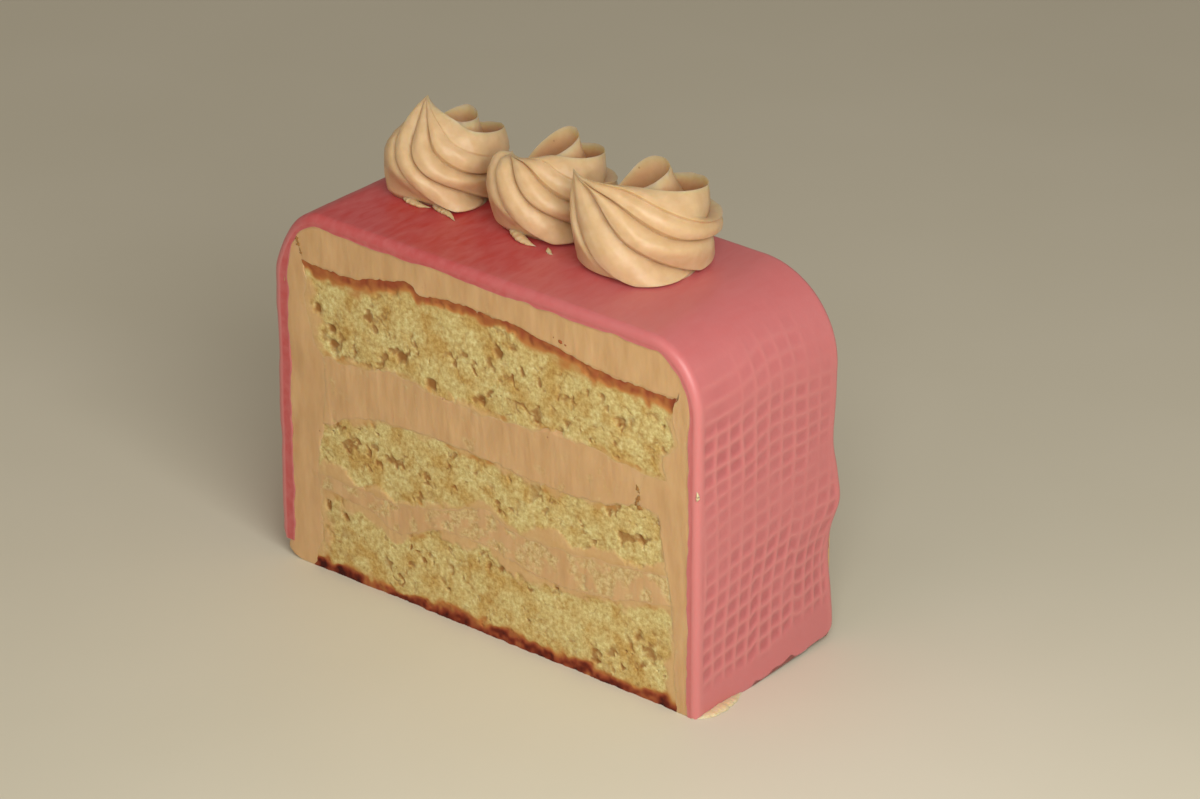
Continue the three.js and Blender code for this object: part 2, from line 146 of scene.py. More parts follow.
def cells(x, z, size, seed):
    """Distance to the nearest of points scattered one to a square, in squares, and a random number that all
    places nearest to that point share."""
    u, v = x / size, z / size
    i, j = np.floor(u), np.floor(v)
    nearest = np.full(np.shape(u), np.inf)
    own = np.zeros(np.shape(u))
    for a in (-1, 0, 1):
        for b in (-1, 0, 1):
            at = (i + a, j + b)
            away = np.hypot(u - at[0] - scatter(*at, seed), v - at[1] - scatter(*at, seed + 7))
            own = np.where(away < nearest, scatter(*at, seed + 13), own)
            nearest = np.minimum(nearest, away)
    return nearest, own


# Lines in the plane of the cut face

def smooth_line(points, step=0.2):
    """A smooth line through points: between two points a cubic whose end slopes come from the neighbouring
    points, weighed by the square roots of the distances."""
    p = np.array(points, float)
    length = np.linalg.norm(np.diff(p, axis=0), axis=1).sum()
    t = np.linspace(0, len(p) - 1, max(2, int(length / step)))
    k = np.minimum(t.astype(int), len(p) - 2)
    f = (t - k)[:, None]
    p = np.vstack([2 * p[0] - p[1], p, 2 * p[-1] - p[-2]])
    a, b, c, d = (p[k + n] for n in range(4))
    ab, bc, cd = (np.sqrt(np.linalg.norm(v - u, axis=1, keepdims=True)) for u, v in ((a, b), (b, c), (c, d)))
    rise = bc * ((b - a) / ab - (c - a) / (ab + bc) + (c - b) / bc)
    fall = bc * ((c - b) / bc - (d - b) / (bc + cd) + (d - c) / cd)
    return b + rise * f + (3 * (c - b) - 2 * rise - fall) * f**2 + (2 * (b - c) + rise + fall) * f**3


def lengths(line):
    """Length along a line up to each of its points."""
    return np.concatenate([[0], np.cumsum(np.linalg.norm(np.diff(line, axis=0), axis=1))])


def even(line, count):
    """The same line as count points, spaced evenly along it."""
    along = lengths(line)
    at = np.linspace(0, along[-1], count)
    return np.stack([np.interp(at, along, line[:, n]) for n in range(line.shape[1])], 1)


def ragged(points, deep=0.45, seed=1):
    """A smooth line pushed to its two sides by noise of about 3 mm and 0.9 mm, fading out at its ends."""
    line = smooth_line(points)
    along = lengths(line)
    slope = unit(np.gradient(line, axis=0))
    aside = np.stack([-slope[:, 1], slope[:, 0]], 1)
    push = noise(line[:, 0], line[:, 1], 3.2, seed) + 0.55 * noise(line[:, 0], line[:, 1], 0.9, seed + 1)
    ends = ease(along / 1.5) * ease((along[-1] - along) / 1.5)
    return line + aside * (deep * push * ends)[:, None]


def joined(*lines):
    """Lines that follow on from each other, as one."""
    return np.vstack([lines[0]] + [line[1:] for line in lines[1:]])


# Edges of the layers on the cut face, left to right or upwards. Neighbours share an edge.
foot = smooth_line([(-43.6, 0), (47, 0)])
lower_cream_bottom = ragged(
    [(-41.2, 17.4), (-27.3, 16.4), (-21.4, 14.4), (-12.6, 17.9), (-0.6, 18.8), (19.6, 16.8), (45.8, 21.7)]
)
lower_cream_top = ragged(
    [(-41.8, 20.4), (-17.4, 21.3), (-7.7, 24.1), (0.9, 26.2), (9.1, 24.1), (30, 25.4), (44.6, 27.6)]
)
upper_cream_bottom = ragged(
    [(-40.3, 31.7), (-32, 35.2), (-19, 37.3), (6.7, 36.9), (17.4, 36.4), (27.9, 37.6), (37.3, 40)]
)
upper_cream_top = ragged(
    [(-39.7, 46), (-30.4, 46.4), (-22.6, 48.1), (-12, 47), (6.8, 46.7), (21.8, 48.3), (39, 46.6)]
)
crown = ragged(
    [(-44.8, 65), (-33, 64.7), (-17.3, 68), (-15, 66.4), (-7, 67.6), (8, 67.3), (32.4, 64), (47, 64.4)],
    deep=0.3,
)
left_bottom = ragged([(-43.6, 0), (-42.4, 4), (-41.2, 8), (-41.2, 17.4)])
left_lower_cream = smooth_line([(-41.2, 17.4), (-41.8, 20.4)])
left_middle = ragged([(-41.8, 20.4), (-41.4, 27), (-40.3, 31.7)])
left_upper_cream = smooth_line([(-40.3, 31.7), (-39.3, 39), (-39.7, 46)])
left_top = ragged([(-39.7, 46), (-41.8, 49), (-44.3, 55.2), (-43.7, 60.6), (-44.8, 65)])
right_bottom = ragged([(47, 0), (46.3, 12), (45.8, 21.7)])
right_lower_cream = smooth_line([(45.8, 21.7), (44.6, 27.6)])
right_middle = ragged([(44.6, 27.6), (43.6, 33), (42.2, 39.4)])
right_upper_cream = smooth_line([(37.3, 40), (37.8, 43.2), (39, 46.6)])
right_top = ragged([(44.2, 46.9), (43, 50.3), (46.3, 55), (45.6, 61), (47, 64.4)])
middle_ledge = smooth_line([(37.3, 40), (42.2, 39.4)])
top_ledge = smooth_line([(39, 46.6), (44.2, 46.9)])

# Foot of the fondant's right end, as depth and height from front to back: torn, stepped up and chipped
right_hem = smooth_line([
    (-21.2, 0), (-8, 0), (-5, 0.05), (-3.5, 0.9), (-2, 0.45), (0.3, 0.5), (1.7, 1), (5, 1.05), (7, 1.8),
    (8.6, 1), (9.6, 0.7), (12, 0.95), (17, 1.3), (18.8, 1.6), (20.2, 2.6), (21.2, 4.6),
])

# Back edge of the fondant's right end: how far it stands out past the back cut, with the height there
back_edge = smooth_line([
    (-0.5, 0), (-0.7, 5), (-1.2, 10), (-2, 18), (-1.4, 24), (0.5, 29), (0, 35), (-1.4, 42), (-0.9, 50),
    (-0.6, 60), (0, 70), (0, 76),
])


# Meshes

def grid_faces(rows, columns, start, flip):
    """Four corner numbers for each cell of a grid whose points are counted from start, row by row. Rows that
    run up and columns that run right face away from the eye, and flip turns them to it."""
    number = start + np.arange(rows * columns).reshape(rows, columns)
    corners = [number[:-1, :-1], number[1:, :-1], number[1:, 1:], number[:-1, 1:]]
    if flip:
        corners.reverse()
    return np.stack([c.ravel() for c in corners], 1)


def welded(points, faces):
    """Merges points that round to the same place. Returns the numbers of those kept, and the faces with new
    corner numbers: cells that lost a corner as triangles, and without those that lost more."""
    keys = np.round(points * WELDS_PER_MM).astype(np.int64)
    _, first, place = np.unique(keys, axis=0, return_index=True, return_inverse=True)
    faces = [place.ravel()[face] for face in faces]
    quads = np.vstack([face for face in faces if face.shape[1] == 4])
    own = quads != np.roll(quads, 1, axis=1)
    left = own.sum(1)
    triangles = quads[left == 3][own[left == 3]].reshape(-1, 3)
    return first, [quads[left == 4], triangles] + [face for face in faces if face.shape[1] != 4]


class Piece:
    """Collects grids of points in millimetres, with a value of each named attribute for every point."""

    def __init__(self, *attributes):
        self.points = []
        self.faces = []
        self.values = {name: [] for name in attributes}
        self.count = 0

    def grid(self, x, y, z, flip=False, **values):
        """Adds a grid of points and its faces, and returns the number of its first point."""
        x, y, z = np.broadcast_arrays(x, y, z)
        start = self.count
        self.points.append(np.stack([x.ravel(), y.ravel(), z.ravel()], 1))
        for name, kept in self.values.items():
            kept.append(np.broadcast_to(values.get(name, 0.0), x.shape).ravel())
        self.faces.append(grid_faces(*x.shape, start, flip))
        self.count += x.size
        return start

    def made(self, name, material, nodes, slot, sharp=50):
        """Welds the grids where they meet and puts them into a mesh object that replaces the nodes. Edges
        over sharp degrees aren't shaded smooth."""
        points = np.vstack(self.points)
        first, faces = welded(points, self.faces)
        corners = np.concatenate([face.ravel() for face in faces])
        sizes = np.concatenate([np.full(len(face), face.shape[1]) for face in faces])
        mesh = bpy.data.meshes.new(name)
        mesh.vertices.add(len(first))
        mesh.vertices.foreach_set("co", (points[first] * MM).ravel())
        mesh.loops.add(len(corners))
        mesh.loops.foreach_set("vertex_index", corners)
        mesh.polygons.add(len(sizes))
        mesh.polygons.foreach_set("loop_start", np.cumsum(sizes) - sizes)
        mesh.update(calc_edges=True)
        mesh.validate()
        for attribute, kept in self.values.items():
            layer = mesh.attributes.new(attribute, "FLOAT", "POINT")
            layer.data.foreach_set("value", np.concatenate(kept)[first].astype(np.float32))
        mesh.shade_smooth()
        mesh.set_sharp_from_angle(angle=math.radians(sharp))
        mesh.materials.append(material)
        made = in_scene(name, mesh)
        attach(made, "root")
        if nodes:
            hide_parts(*nodes)


def in_scene(name, data):
    """Puts a mesh, a light or a camera into the scene as an object."""
    made = bpy.data.objects.new(name, data)
    bpy.context.scene.collection.objects.link(made)
    return made


# Materials

# Kinds of shader nodes, the numbers of the colour mix's sockets, and what makes a mix one of colours
NOISE, RAMP, MIX = "ShaderNodeTexNoise", "ShaderNodeValToRGB", "ShaderNodeMix"
REMAP, BUMP = "ShaderNodeMapRange", "ShaderNodeBump"
SHARE, COLOUR_A, COLOUR_B, COLOUR = 0, 6, 7, 2
OF_COLOURS = {"data_type": "RGBA", "output": COLOUR}


def to_linear(colour):
    """Linear red, green, blue and 1 for an sRGB colour written as a hex string."""
    channels = [int(colour[n:n + 2], 16) / 255 for n in (1, 3, 5)]
    return [c / 12.92 if c <= 0.04045 else ((c + 0.055) / 1.055) ** 2.4 for c in channels] + [1]


def per(size):
    """Texture scale for a pattern whose features are size millimetres wide."""
    return 1 / (size * MM)


def feed(node, inputs):
    """Gives a node's sockets, by name or number, a value, a hex colour or a link from another's output."""
    for key, value in inputs.items():
        if isinstance(value, bpy.types.NodeSocket):
            node.id_data.links.new(value, node.inputs[key])
        else:
            node.inputs[key].default_value = to_linear(value) if isinstance(value, str) else value


def add(tree, kind, inputs, stops=(), output=0, **settings):
    """Adds a shader node with its settings, its inputs and a colour ramp's places and colours, and returns
    one of its outputs."""
    made = tree.nodes.new(kind)
    for name, value in settings.items():
        setattr(made, name, value)
    feed(made, inputs)
    for n, (place, colour) in enumerate(stops):
        stop = made.color_ramp.elements[n] if n < 2 else made.color_ramp.elements.new(place)
        stop.position = place
        stop.color = to_linear(colour)
    return made.outputs[output]


def material(name, *attributes):
    """A new material with its tree, its object coordinates and the values of the attributes it reads."""
    made = bpy.data.materials.new(name)
    made.use_nodes = True
    tree = made.node_tree
    place = add(tree, "ShaderNodeTexCoord", {}, output="Object")
    values = [add(tree, "ShaderNodeAttribute", {}, output="Fac", attribute_name=read) for read in attributes]
    return made, tree, place, *values


def finished(made, **values):
    """Feeds a material's own shader, whose sockets' names are written with _ for a space."""
    shader = made.node_tree.nodes["Principled BSDF"]
    feed(shader, {name.replace("_", " "): value for name, value in values.items()})
    return made


def sponge_material():
    """Baked butter sponge, cut and torn: a matt pale yellow crumb in soft lumps, with painted shade, tan, in
    its pores and holes; crumbs of crust and a stain are brown, and it is greyer where it has soaked. The
    crusts are baked brown, and the knife has dragged some buttercream over it."""
    made, tree, place, pore, creamy, browned = material("baked_sponge", "pore", "creamy", "browned")
    broad = add(tree, NOISE, {"Vector": place, "Scale": per(5), "Detail": 4})
    fine = add(tree, NOISE, {"Vector": place, "Scale": per(1), "Detail": 5, "Roughness": 0.7})
    crumb = add(tree, RAMP, {"Fac": fine}, [(0.34, "#b89d64"), (0.5, "#d1c088"), (0.64, "#e3d9a6")])
    tone = add(tree, RAMP, {"Fac": broad}, [(0.36, "#ead3b0"), (0.5, "#faf3e4"), (0.64, "#fffff6")])
    colour = add(
        tree, MIX, {SHARE: 1, COLOUR_A: crumb, COLOUR_B: tone}, blend_type="MULTIPLY", **OF_COLOURS
    )
    crust = add(
        tree, RAMP, {"Fac": browned},
        [(0, "#c9a05c"), (1, "#43110a"), (0.35, "#b67a42"), (0.6, "#984d2e"), (0.8, "#722814")],
    )
    baked = add(tree, REMAP, {"Value": browned, "From Min": 0.02, "From Max": 0.35})
    # The first mix is painted shade in the pores, rifts and holes, and the brown of crust crumbs and the
    # soiled patch.
    for share, over in ((pore, "#966634"), (creamy, "#cfa878"), (baked, crust)):
        colour = add(tree, MIX, {SHARE: share, COLOUR_A: colour, COLOUR_B: over}, **OF_COLOURS)
    grain = add(tree, NOISE, {"Vector": place, "Scale": per(0.6), "Detail": 4})
    bump = add(tree, BUMP, {"Height": grain, "Strength": 0.16, "Distance": 0.25 * MM})
    return finished(
        made, Base_Color=colour, Normal=bump, Roughness=0.8, IOR=1.4, Specular_IOR_Level=0.35,
        Subsurface_Weight=0.25, Subsurface_Radius=(1.0, 0.65, 0.3), Subsurface_Scale=1.2 * MM,
    )


def buttercream_material(name, light, dark, crumb_and_shade_colours, roughness, glow, streak):
    """Whipped butter and sugar: a smooth tan cream with a satin gloss and a little light inside it, faintly
    streaked where the knife or the nozzle drew it out, with a few brown specks. Two colours are mixed in
    where an attribute marks them: crumbs caught in cut cream, and painted shade in the hollows and creases
    of piped cream."""
    made, tree, place, tinted = material(name, "tinted")
    stretched = add(tree, "ShaderNodeMapping", {"Vector": place, "Scale": streak})
    drawn = add(tree, NOISE, {"Vector": stretched, "Scale": per(2.2), "Detail": 4})
    colour = add(tree, RAMP, {"Fac": drawn}, [(0.3, dark), (0.7, light)])
    bits = add(tree, NOISE, {"Vector": place, "Scale": per(1), "Detail": 5, "Roughness": 0.7})
    tint = add(tree, RAMP, {"Fac": bits}, [(0.4, crumb_and_shade_colours[0]), (0.58, crumb_and_shade_colours[1])])
    grains = add(tree, "ShaderNodeTexVoronoi", {"Vector": place, "Scale": per(6)})
    speck = add(
        tree, REMAP, {"Value": grains, "From Min": 0.025, "From Max": 0.045, "To Min": 0.45, "To Max": 0}
    )
    # The tint marks crumbs caught in cut cream; in piped cream it is painted shade in hollows and creases.
    for share, over in ((tinted, tint), (speck, "#7c4a22")):
        colour = add(tree, MIX, {SHARE: share, COLOUR_A: colour, COLOUR_B: over}, **OF_COLOURS)
    air = add(tree, NOISE, {"Vector": place, "Scale": per(0.8), "Detail": 3})
    height = add(tree, MIX, {SHARE: 0.5, 2: drawn, 3: air}, data_type="FLOAT")
    bump = add(tree, BUMP, {"Height": height, "Strength": 0.25, "Distance": 0.2 * MM})
    return finished(
        made, Base_Color=colour, Normal=bump, Roughness=roughness, IOR=1.46,
        Subsurface_Weight=0.6, Subsurface_Radius=(1.0, 0.55, 0.25), Subsurface_Scale=glow * MM,
    )


def fondant_material():
    """Rolled sugar paste, dyed dusky pink: dense and satin, with a soft glow. Painted highlight makes it
    paler on the ridges of its imprint and along the end walls' arrises, and painted shade makes it redder in
    the pits. Its top is deep red with fine streaks, most at the left and fading towards the right."""
    made, tree, place, pressed, damp = material("sugar_paste", "pressed", "damp")
    # Painted highlight at the pale end of the ramp, for ridges and arrises; painted shade at the red end,
    # for pits.
    depth = add(tree, RAMP, {"Fac": pressed}, [(0, "#d28482"), (1, "#bb6468"), (0.4, "#cb7678")])
    along = add(tree, "ShaderNodeMapping", {"Vector": place, "Scale": (1, 0.3, 1)})
    streaks = add(tree, NOISE, {"Vector": along, "Scale": per(1.7), "Detail": 5, "Distortion": 0.4})
    patch = add(
        tree, REMAP, {"Value": streaks, "From Min": 0.35, "From Max": 0.65, "To Min": 0.6, "To Max": 1}
    )
    amount = add(tree, "ShaderNodeMath", {0: patch, 1: damp}, operation="MULTIPLY")
    colour = add(tree, MIX, {SHARE: amount, COLOUR_A: depth, COLOUR_B: "#bc3a3b"}, **OF_COLOURS)
    grain = add(tree, NOISE, {"Vector": place, "Scale": per(0.9), "Detail": 3})
    bump = add(tree, BUMP, {"Height": grain, "Strength": 0.22, "Distance": 0.12 * MM})
    return finished(
        made, Base_Color=colour, Normal=bump, Roughness=0.45, IOR=1.48, Coat_Weight=0.2, Coat_Roughness=0.25,
        Subsurface_Weight=0.3, Subsurface_Radius=(1.0, 0.4, 0.35), Subsurface_Scale=1.6 * MM,
    )


def floor_material():
    """Pale painted board: even and slightly satin."""
    made, tree, place = material("pale_board")
    shade = add(tree, NOISE, {"Vector": place, "Scale": per(60), "Detail": 2})
    colour = add(tree, RAMP, {"Fac": shade}, [(0.3, "#d3cfbd"), (0.7, "#d6d2c1")])
    return finished(made, Base_Color=colour, Roughness=0.55)


# Layers

def crumb(x, z, seed):
    """Depth of the torn crumb under the cut plane in mm, and how dark it is painted: painted shade in its
    pores, rifts, missing clumps and between clumps. Wide waves carry round clumps of crumb. At places
    shifted by noise, pores open where finer noise is high, rifts run along the zero lines of a wider noise,
    and here and there a clump is missing."""
    u = x + 0.6 * noise(x, z, 1.9, seed) + 0.35 * noise(x, z, 0.8, seed + 1)
    v = z + 0.6 * noise(x, z, 1.9, seed + 2) + 0.35 * noise(x, z, 0.8, seed + 3)
    waves = 0.14 * (1 + rough(x, z, 7, 2, seed + 4))
    clumps, _ = cells(u, v * 1.1, 1.25, seed + 5)
    opened = ease((noise(x, z, 5.5, seed + 6) + 0.8) / 1.2)
    pores = ease((rough(u, v, 1.7, 3, seed + 7) - 0.35) / 0.6) * opened
    cracked = ease((noise(x, z, 4.4, seed + 9) - 0.1) / 0.4)
    rifts = ease(1 - np.abs(rough(u, v, 3.6, 2, seed + 8)) / 0.12) * cracked
    far, rare = cells(u, v, 7.5, seed + 10)
    missing = ease(1 - far / (0.02 + 0.22 * np.clip(3 * rare - 2, 0, 1)))
    depth = waves + 0.06 * clumps**2 + 0.26 * pores + 0.09 * rifts + 0.6 * missing
    # Painted shade: darker in pores, rifts and missing clumps and towards the clumps' edges, where the crumb
    # lies deeper.
    dark = 0.8 * pores + 0.35 * rifts + 0.85 * missing + 0.35 * (clumps - 0.5)
    return depth, np.clip(dark, 0, 1)


def torn_holes(x, z, seed):
    """Share of the large torn holes: 1 inside each radius, gone a little past it, with a ragged rim."""
    share = np.zeros_like(x)
    for hole_x, hole_z, radius in HOLES:
        away = np.hypot(x - hole_x, z - hole_z) + 0.45 * noise(x, z, 0.9, seed)
        share = np.maximum(share, ease(1.6 - 1.1 * away / radius))
    return share


def spread(bottom, top, left, right, columns, rows):
    """Points inside four edges: the blend of the two long edges plus that of the two sides, less the blend
    of the corners. Returns x and z, one row for each step up."""
    bottom, top = even(bottom, columns), even(top, columns)
    left, right = even(left, rows), even(right, rows)
    u = np.linspace(0, 1, columns)[None, :, None]
    v = np.linspace(0, 1, rows)[:, None, None]
    along = blend(bottom[None], top[None], v)
    across = blend(left[:, None], right[:, None], u)
    corners = blend(blend(bottom[0], bottom[-1], u), blend(top[0], top[-1], u), v)
    return np.moveaxis(along + across - corners, 2, 0)


def closed_layer(name, material, node, slot, faces, values):
    """Makes a piece of two cut faces, front and back, joined all round by a band through the depth. Each
    is x, y and z, with its attributes' values apart; rows run up and columns right, or turned alike."""
    piece = Piece(*values[0])
    for face, own, flip in zip(faces, values, (True, False)):
        piece.grid(*face, flip, **own)
    for edge, flip in ((np.s_[0], False), (np.s_[-1], True), (np.s_[:, 0], True), (np.s_[:, -1], False)):
        piece.grid(*(np.stack([front[edge], back[edge]]) for front, back in zip(*faces)), flip)
    piece.made(name, material, [node], slot)


def own_seed(seed, side):
    """The seed of one cut face: the back one has random numbers of its own."""
    return seed + 40 * (side == BACK)


def crust_of(distance, thick, x, z, seed):
    """Share of baked crust: full at the edge, gone past a thickness that wanders along the edge."""
    wander = thick * (1 + 0.4 * noise(x, z, 5, seed) + 0.3 * noise(x, z, 1.6, seed + 1))
    return ease(1.4 - distance / np.maximum(wander, 0.25))


def smear_of(distance, reach, x, z, seed):
    """Share of dragged buttercream: patches of noise that reach further in near the edge."""
    patch = 0.5 + 0.5 * rough(x, z, 4.5, 4, seed)
    return ease((patch * reach - distance) / 1.6)


def sponge(name, node, bottom, top, left, right, seed, top_crust=0, bottom_crust=0, reach=(2, 2)):
    """A layer of sponge: crumb relief on its two cut faces, with a pale upper or a dark lower crust, soaked
    edges and smears of cream that reach so far up and down, and further in from the left."""
    x, z = spread(bottom, top, left, right, *SPONGE_MESH)
    above = z[-1] - z
    below = z - z[0]
    to_side = np.minimum((x - x[:, :1]) * 0.6, x[:, -1:] - x)
    soiled_x, soiled_z, soiled_width, soiled_height = SOILED
    faces, values = [], []
    for side in (FRONT, BACK):
        own = own_seed(seed, side)
        depth, dark = crumb(x, z, own)
        holes = torn_holes(x, z, own) * (side == FRONT)
        depth = depth + 0.5 * holes
        # Painted shade in the torn holes.
        dark = np.maximum(dark, 0.95 * holes)
        soiled = bell((x - soiled_x) / soiled_width) * bell((z - soiled_z) / soiled_height)
        soiled = soiled * ease(rough(x, z, 1.6, 3, own + 35) + 0.4)
        dark = np.maximum(dark, 0.75 * soiled)
        brown = np.zeros_like(x)
        if top_crust:
            uneven = 0.54 + 0.1 * noise(x, z, 1.1, own + 19)
            brown = np.maximum(brown, uneven * crust_of(above, top_crust, x, z, own + 20) ** 0.6)
        if bottom_crust:
            at_ends = 0.16 * ease((-28 - x) / 12) + 0.12 * bell((x - 41.5) / 3)
            uneven = 0.68 + at_ends + 0.28 * noise(x, z, 2.3, own + 21) + 0.15 * noise(x, z, 0.8, own + 22)
            brown = np.maximum(brown, uneven * crust_of(below, bottom_crust, x, z, own + 23))
        creamy = np.maximum(
            smear_of(below, reach[0], x, z, own + 24) * (bottom_crust == 0),
            smear_of(above, reach[1], x, z, own + 26) * (top_crust == 0),
        )
        feathered = above if bottom_crust else below
        at_edge = ease(1 - feathered / 0.9) * ease(noise(x, z, 1.7, own + 34) + 0.7)
        creamy = np.maximum(creamy, smear_of(to_side, 3, x, z, own + 28))
        creamy = np.maximum(creamy, 0.8 * at_edge) * (1 - np.maximum(holes, soiled))
        wet = np.minimum(above, below) + 0.7 * noise(x, z, 1.1, own + 33)
        soaked = ease(1.3 - wet / 1.2) * ease(1.3 * noise(x, z, 2.6, own + 30) + 0.25)
        brown = np.maximum(brown, 0.3 * soaked * (1 - ease(brown / 0.1)) * (1 - 0.7 * creamy))
        lumps = 0.16 * (1 + rough(x, z, 1.6, 2, own + 31))
        baked = ease((brown - 0.3) / 0.15)
        sunk = 0.12 + depth * (1 - 0.5 * baked) + lumps * baked
        sunk = sunk + (cream_depth(x, z, side) - sunk) * creamy
        faces.append((x, side * (HALF_DEPTH - sunk), z))
        values.append({"pore": dark * (1 - 0.8 * creamy), "browned": brown, "creamy": 0.85 * creamy})
    closed_layer(name, SPONGE, node, "sponge", faces, values)


def cream_depth(x, z, side):
    """Depth of the cut cream under the cut plane in mm: soft hollows and streaks drawn down by the knife."""
    seed = own_seed(300, side)
    hollows = 0.12 * (1 + rough(x, z, 7, 2, seed))
    streaks = 0.035 * (1 + rough(x + 0.1 * z, z * 0.12, 0.9, 3, seed + 3))
    return hollows + streaks


def filling(name, node, bottom, top, left, right, seed, crumbs, covered):
    """A layer of buttercream between two sponges, its cut faces smoothed by the knife. Crumbs of sponge are
    caught in it, and cover so much of it. It reaches in under both sponges and into the coat, deeper."""
    up, out = np.array([0, UNDER_SPONGE]), np.array([INTO_COAT, 0])
    left, right = (
        np.vstack([side[0] - up, side, side[-1] + up]) + way * out for side, way in ((left, -1), (right, 1))
    )
    bottom, top = (
        np.vstack([edge[0] - out, edge, edge[-1] + out]) + way * up for edge, way in ((bottom, -1), (top, 1))
    )
    x, z = spread(bottom, top, left, right, *FILLING_MESH)
    to_edge = np.minimum(z - z[0], z[-1] - z) - UNDER_SPONGE
    past_end = INTO_COAT - np.minimum(x - x[:, :1], x[:, -1:] - x)
    faces, values = [], []
    for side in (FRONT, BACK):
        own = own_seed(seed, side)
        lumps = rough(x, z, 2.2, 4, own + 5)
        caught = ease(0.9 * lumps + covered) * ease((to_edge - 0.1) / 0.5)
        under = UNDER_DEPTH * ease(-to_edge / 0.5) + 0.3 * ease(past_end / INTO_COAT)
        sunk = cream_depth(x, z, side) + under + 0.4 * caught * crumb(x, z, own + 6)[0]
        faces.append((x, side * (HALF_DEPTH - sunk), z))
        values.append({"tinted": crumbs * caught})
    closed_layer(name, CREAM, node, "filling", faces, values)


# Fondant and its coat

def section(y, inset, steps, foot=0):
    """The skin's section at each depth y, from the left hem over the top to the right foot: a wall, a
    quarter ellipse, the top, a wider quarter ellipse and a wall, all set in by inset. Steps counts the
    points of a wall, a shoulder and the top. Returns x and z, one row for each point."""
    wall, shoulder, top = steps
    back = (y + HALF_DEPTH) / (2 * HALF_DEPTH)
    across, down = (a + (b - a) * back for a, b in zip(RIGHT_SHOULDER_FRONT, RIGHT_SHOULDER_BACK))
    left_across, left_down = LEFT_SHOULDER
    rise = np.linspace(0, 1, wall, endpoint=False)[:, None] + 0 * y
    turn = np.linspace(0, np.pi / 2, shoulder, endpoint=False)[:, None] + 0 * y
    run = np.linspace(0, 1, top, endpoint=False)[:, None] + 0 * y
    fall = np.linspace(0, 1, wall)[:, None] + 0 * y
    ends = np.cumsum([wall, shoulder, top, shoulder, wall])
    parts = np.split(np.broadcast_to(inset, (ends[-1], y.shape[-1])), ends[:-1])
    left_x, right_x = -END_X + left_across, END_X - across
    left_z, right_z = TOP_Z - left_down, TOP_Z - down
    x = [
        -END_X + parts[0] + 0 * rise,
        left_x - (left_across - parts[1]) * np.cos(turn),
        left_x + (right_x - left_x) * run,
        right_x + (across - parts[3]) * np.sin(turn),
        END_X - parts[4] + 0 * fall,
    ]
    z = [
        LEFT_HEM_Z + (left_z - LEFT_HEM_Z) * rise,
        left_z + (left_down - parts[1]) * np.sin(turn),
        TOP_Z - parts[2] + 0 * run,
        right_z + (down - parts[3]) * np.cos(turn),
        foot + (right_z - foot) * (1 - fall),
    ]
    return np.vstack(x), np.vstack(z)


def imprint(y, z):
    """Share of the full depth of the waffle pits on an end wall, 0 on the ridges and 1 in the deepest pits,
    and how clearly the imprint shows there. Rows and columns are about CELL apart. The rows rise towards
    the back, and high up they arch instead. The columns fan out upwards, and merge at the shoulder's front.
    """
    rising = 3 * np.tanh((y + 18) / 18)
    arch = 2 * bell((y - 2) / 8.5) + 0.6 * ease((y - 2) / 12)
    raised = rising + (arch - rising) * ease((z - 40) / 10)
    row = (z - raised - 8.25 + 0.35 * noise(y, z, 7, 71)) / CELL
    pitch = CELL + 0.08 + 0.5 * ease((z - 18) / 30)
    carried = 1.4 * bell((z - 30) / 11) - 18.1
    column = (y - carried + 0.35 * noise(y, z, 8, 72)) / pitch
    to_row = (0.5 - np.abs(row - np.round(row))) * CELL
    to_column = (0.5 - np.abs(column - np.round(column))) * pitch
    merged = 1.2 * ease((z - 56) / 6) * ease((-7 - y) / 6)
    to_ridge = -np.log(np.exp(-3 * to_row) + np.exp(-3 * (to_column + merged + 0.1))) / 3
    pits = ease((to_ridge + 0.1) / 1.2)
    faint = bell((z - 36) / 7) + ease((y - 9) / 6) * ease((z - 34) / 8) + ease((z - 56) / 6)
    strength = (0.9 - 0.35 * faint + 0.2 * noise(y, z, 5, 73)).clip(0.25, 1)
    bare = 4 + 2 * ease((y + 2) / 14) + 0.8 * noise(y, z, 4, 74)
    return pits * strength, strength * ease((z - bare) / 3)


def hem(y):
    """Height of the right foot's hem at each depth, with fine tears."""
    torn = 0.12 * noise(y, 0 * y, 0.9, 85) * ease((y + 9) / 3)
    return np.clip(np.interp(y, right_hem[:, 0], right_hem[:, 1]) + torn, 0, None)


def uneven_walls(x, y, z):
    """How far the skin stands in from its true section: soft waves all over, scallops down the left end, and
    near the back of the right end a bulge above a dip. The left hem curls in."""
    waves = 0.1 * rough(z + 0 * y, y + 0 * z, 11, 3, 81)
    scallops = 0.5 * noise(z + 0 * y, 0.6 * y + 0 * z, 3.6, 83) - 0.35
    scallops = scallops * ease((WALLS_TOP_Z - z) / 8) * (x < 0)
    at_back = ease((y - 8) / 10) * (x > 0)
    bulge = (0.35 * bell((z - 28) / 4) - 0.45 * bell((z - 17) / 6)) * at_back
    curl = ease(1 - (z - LEFT_HEM_Z) / 2.6) ** 2 * (x < 0)
    return waves + scallops - bulge + curl


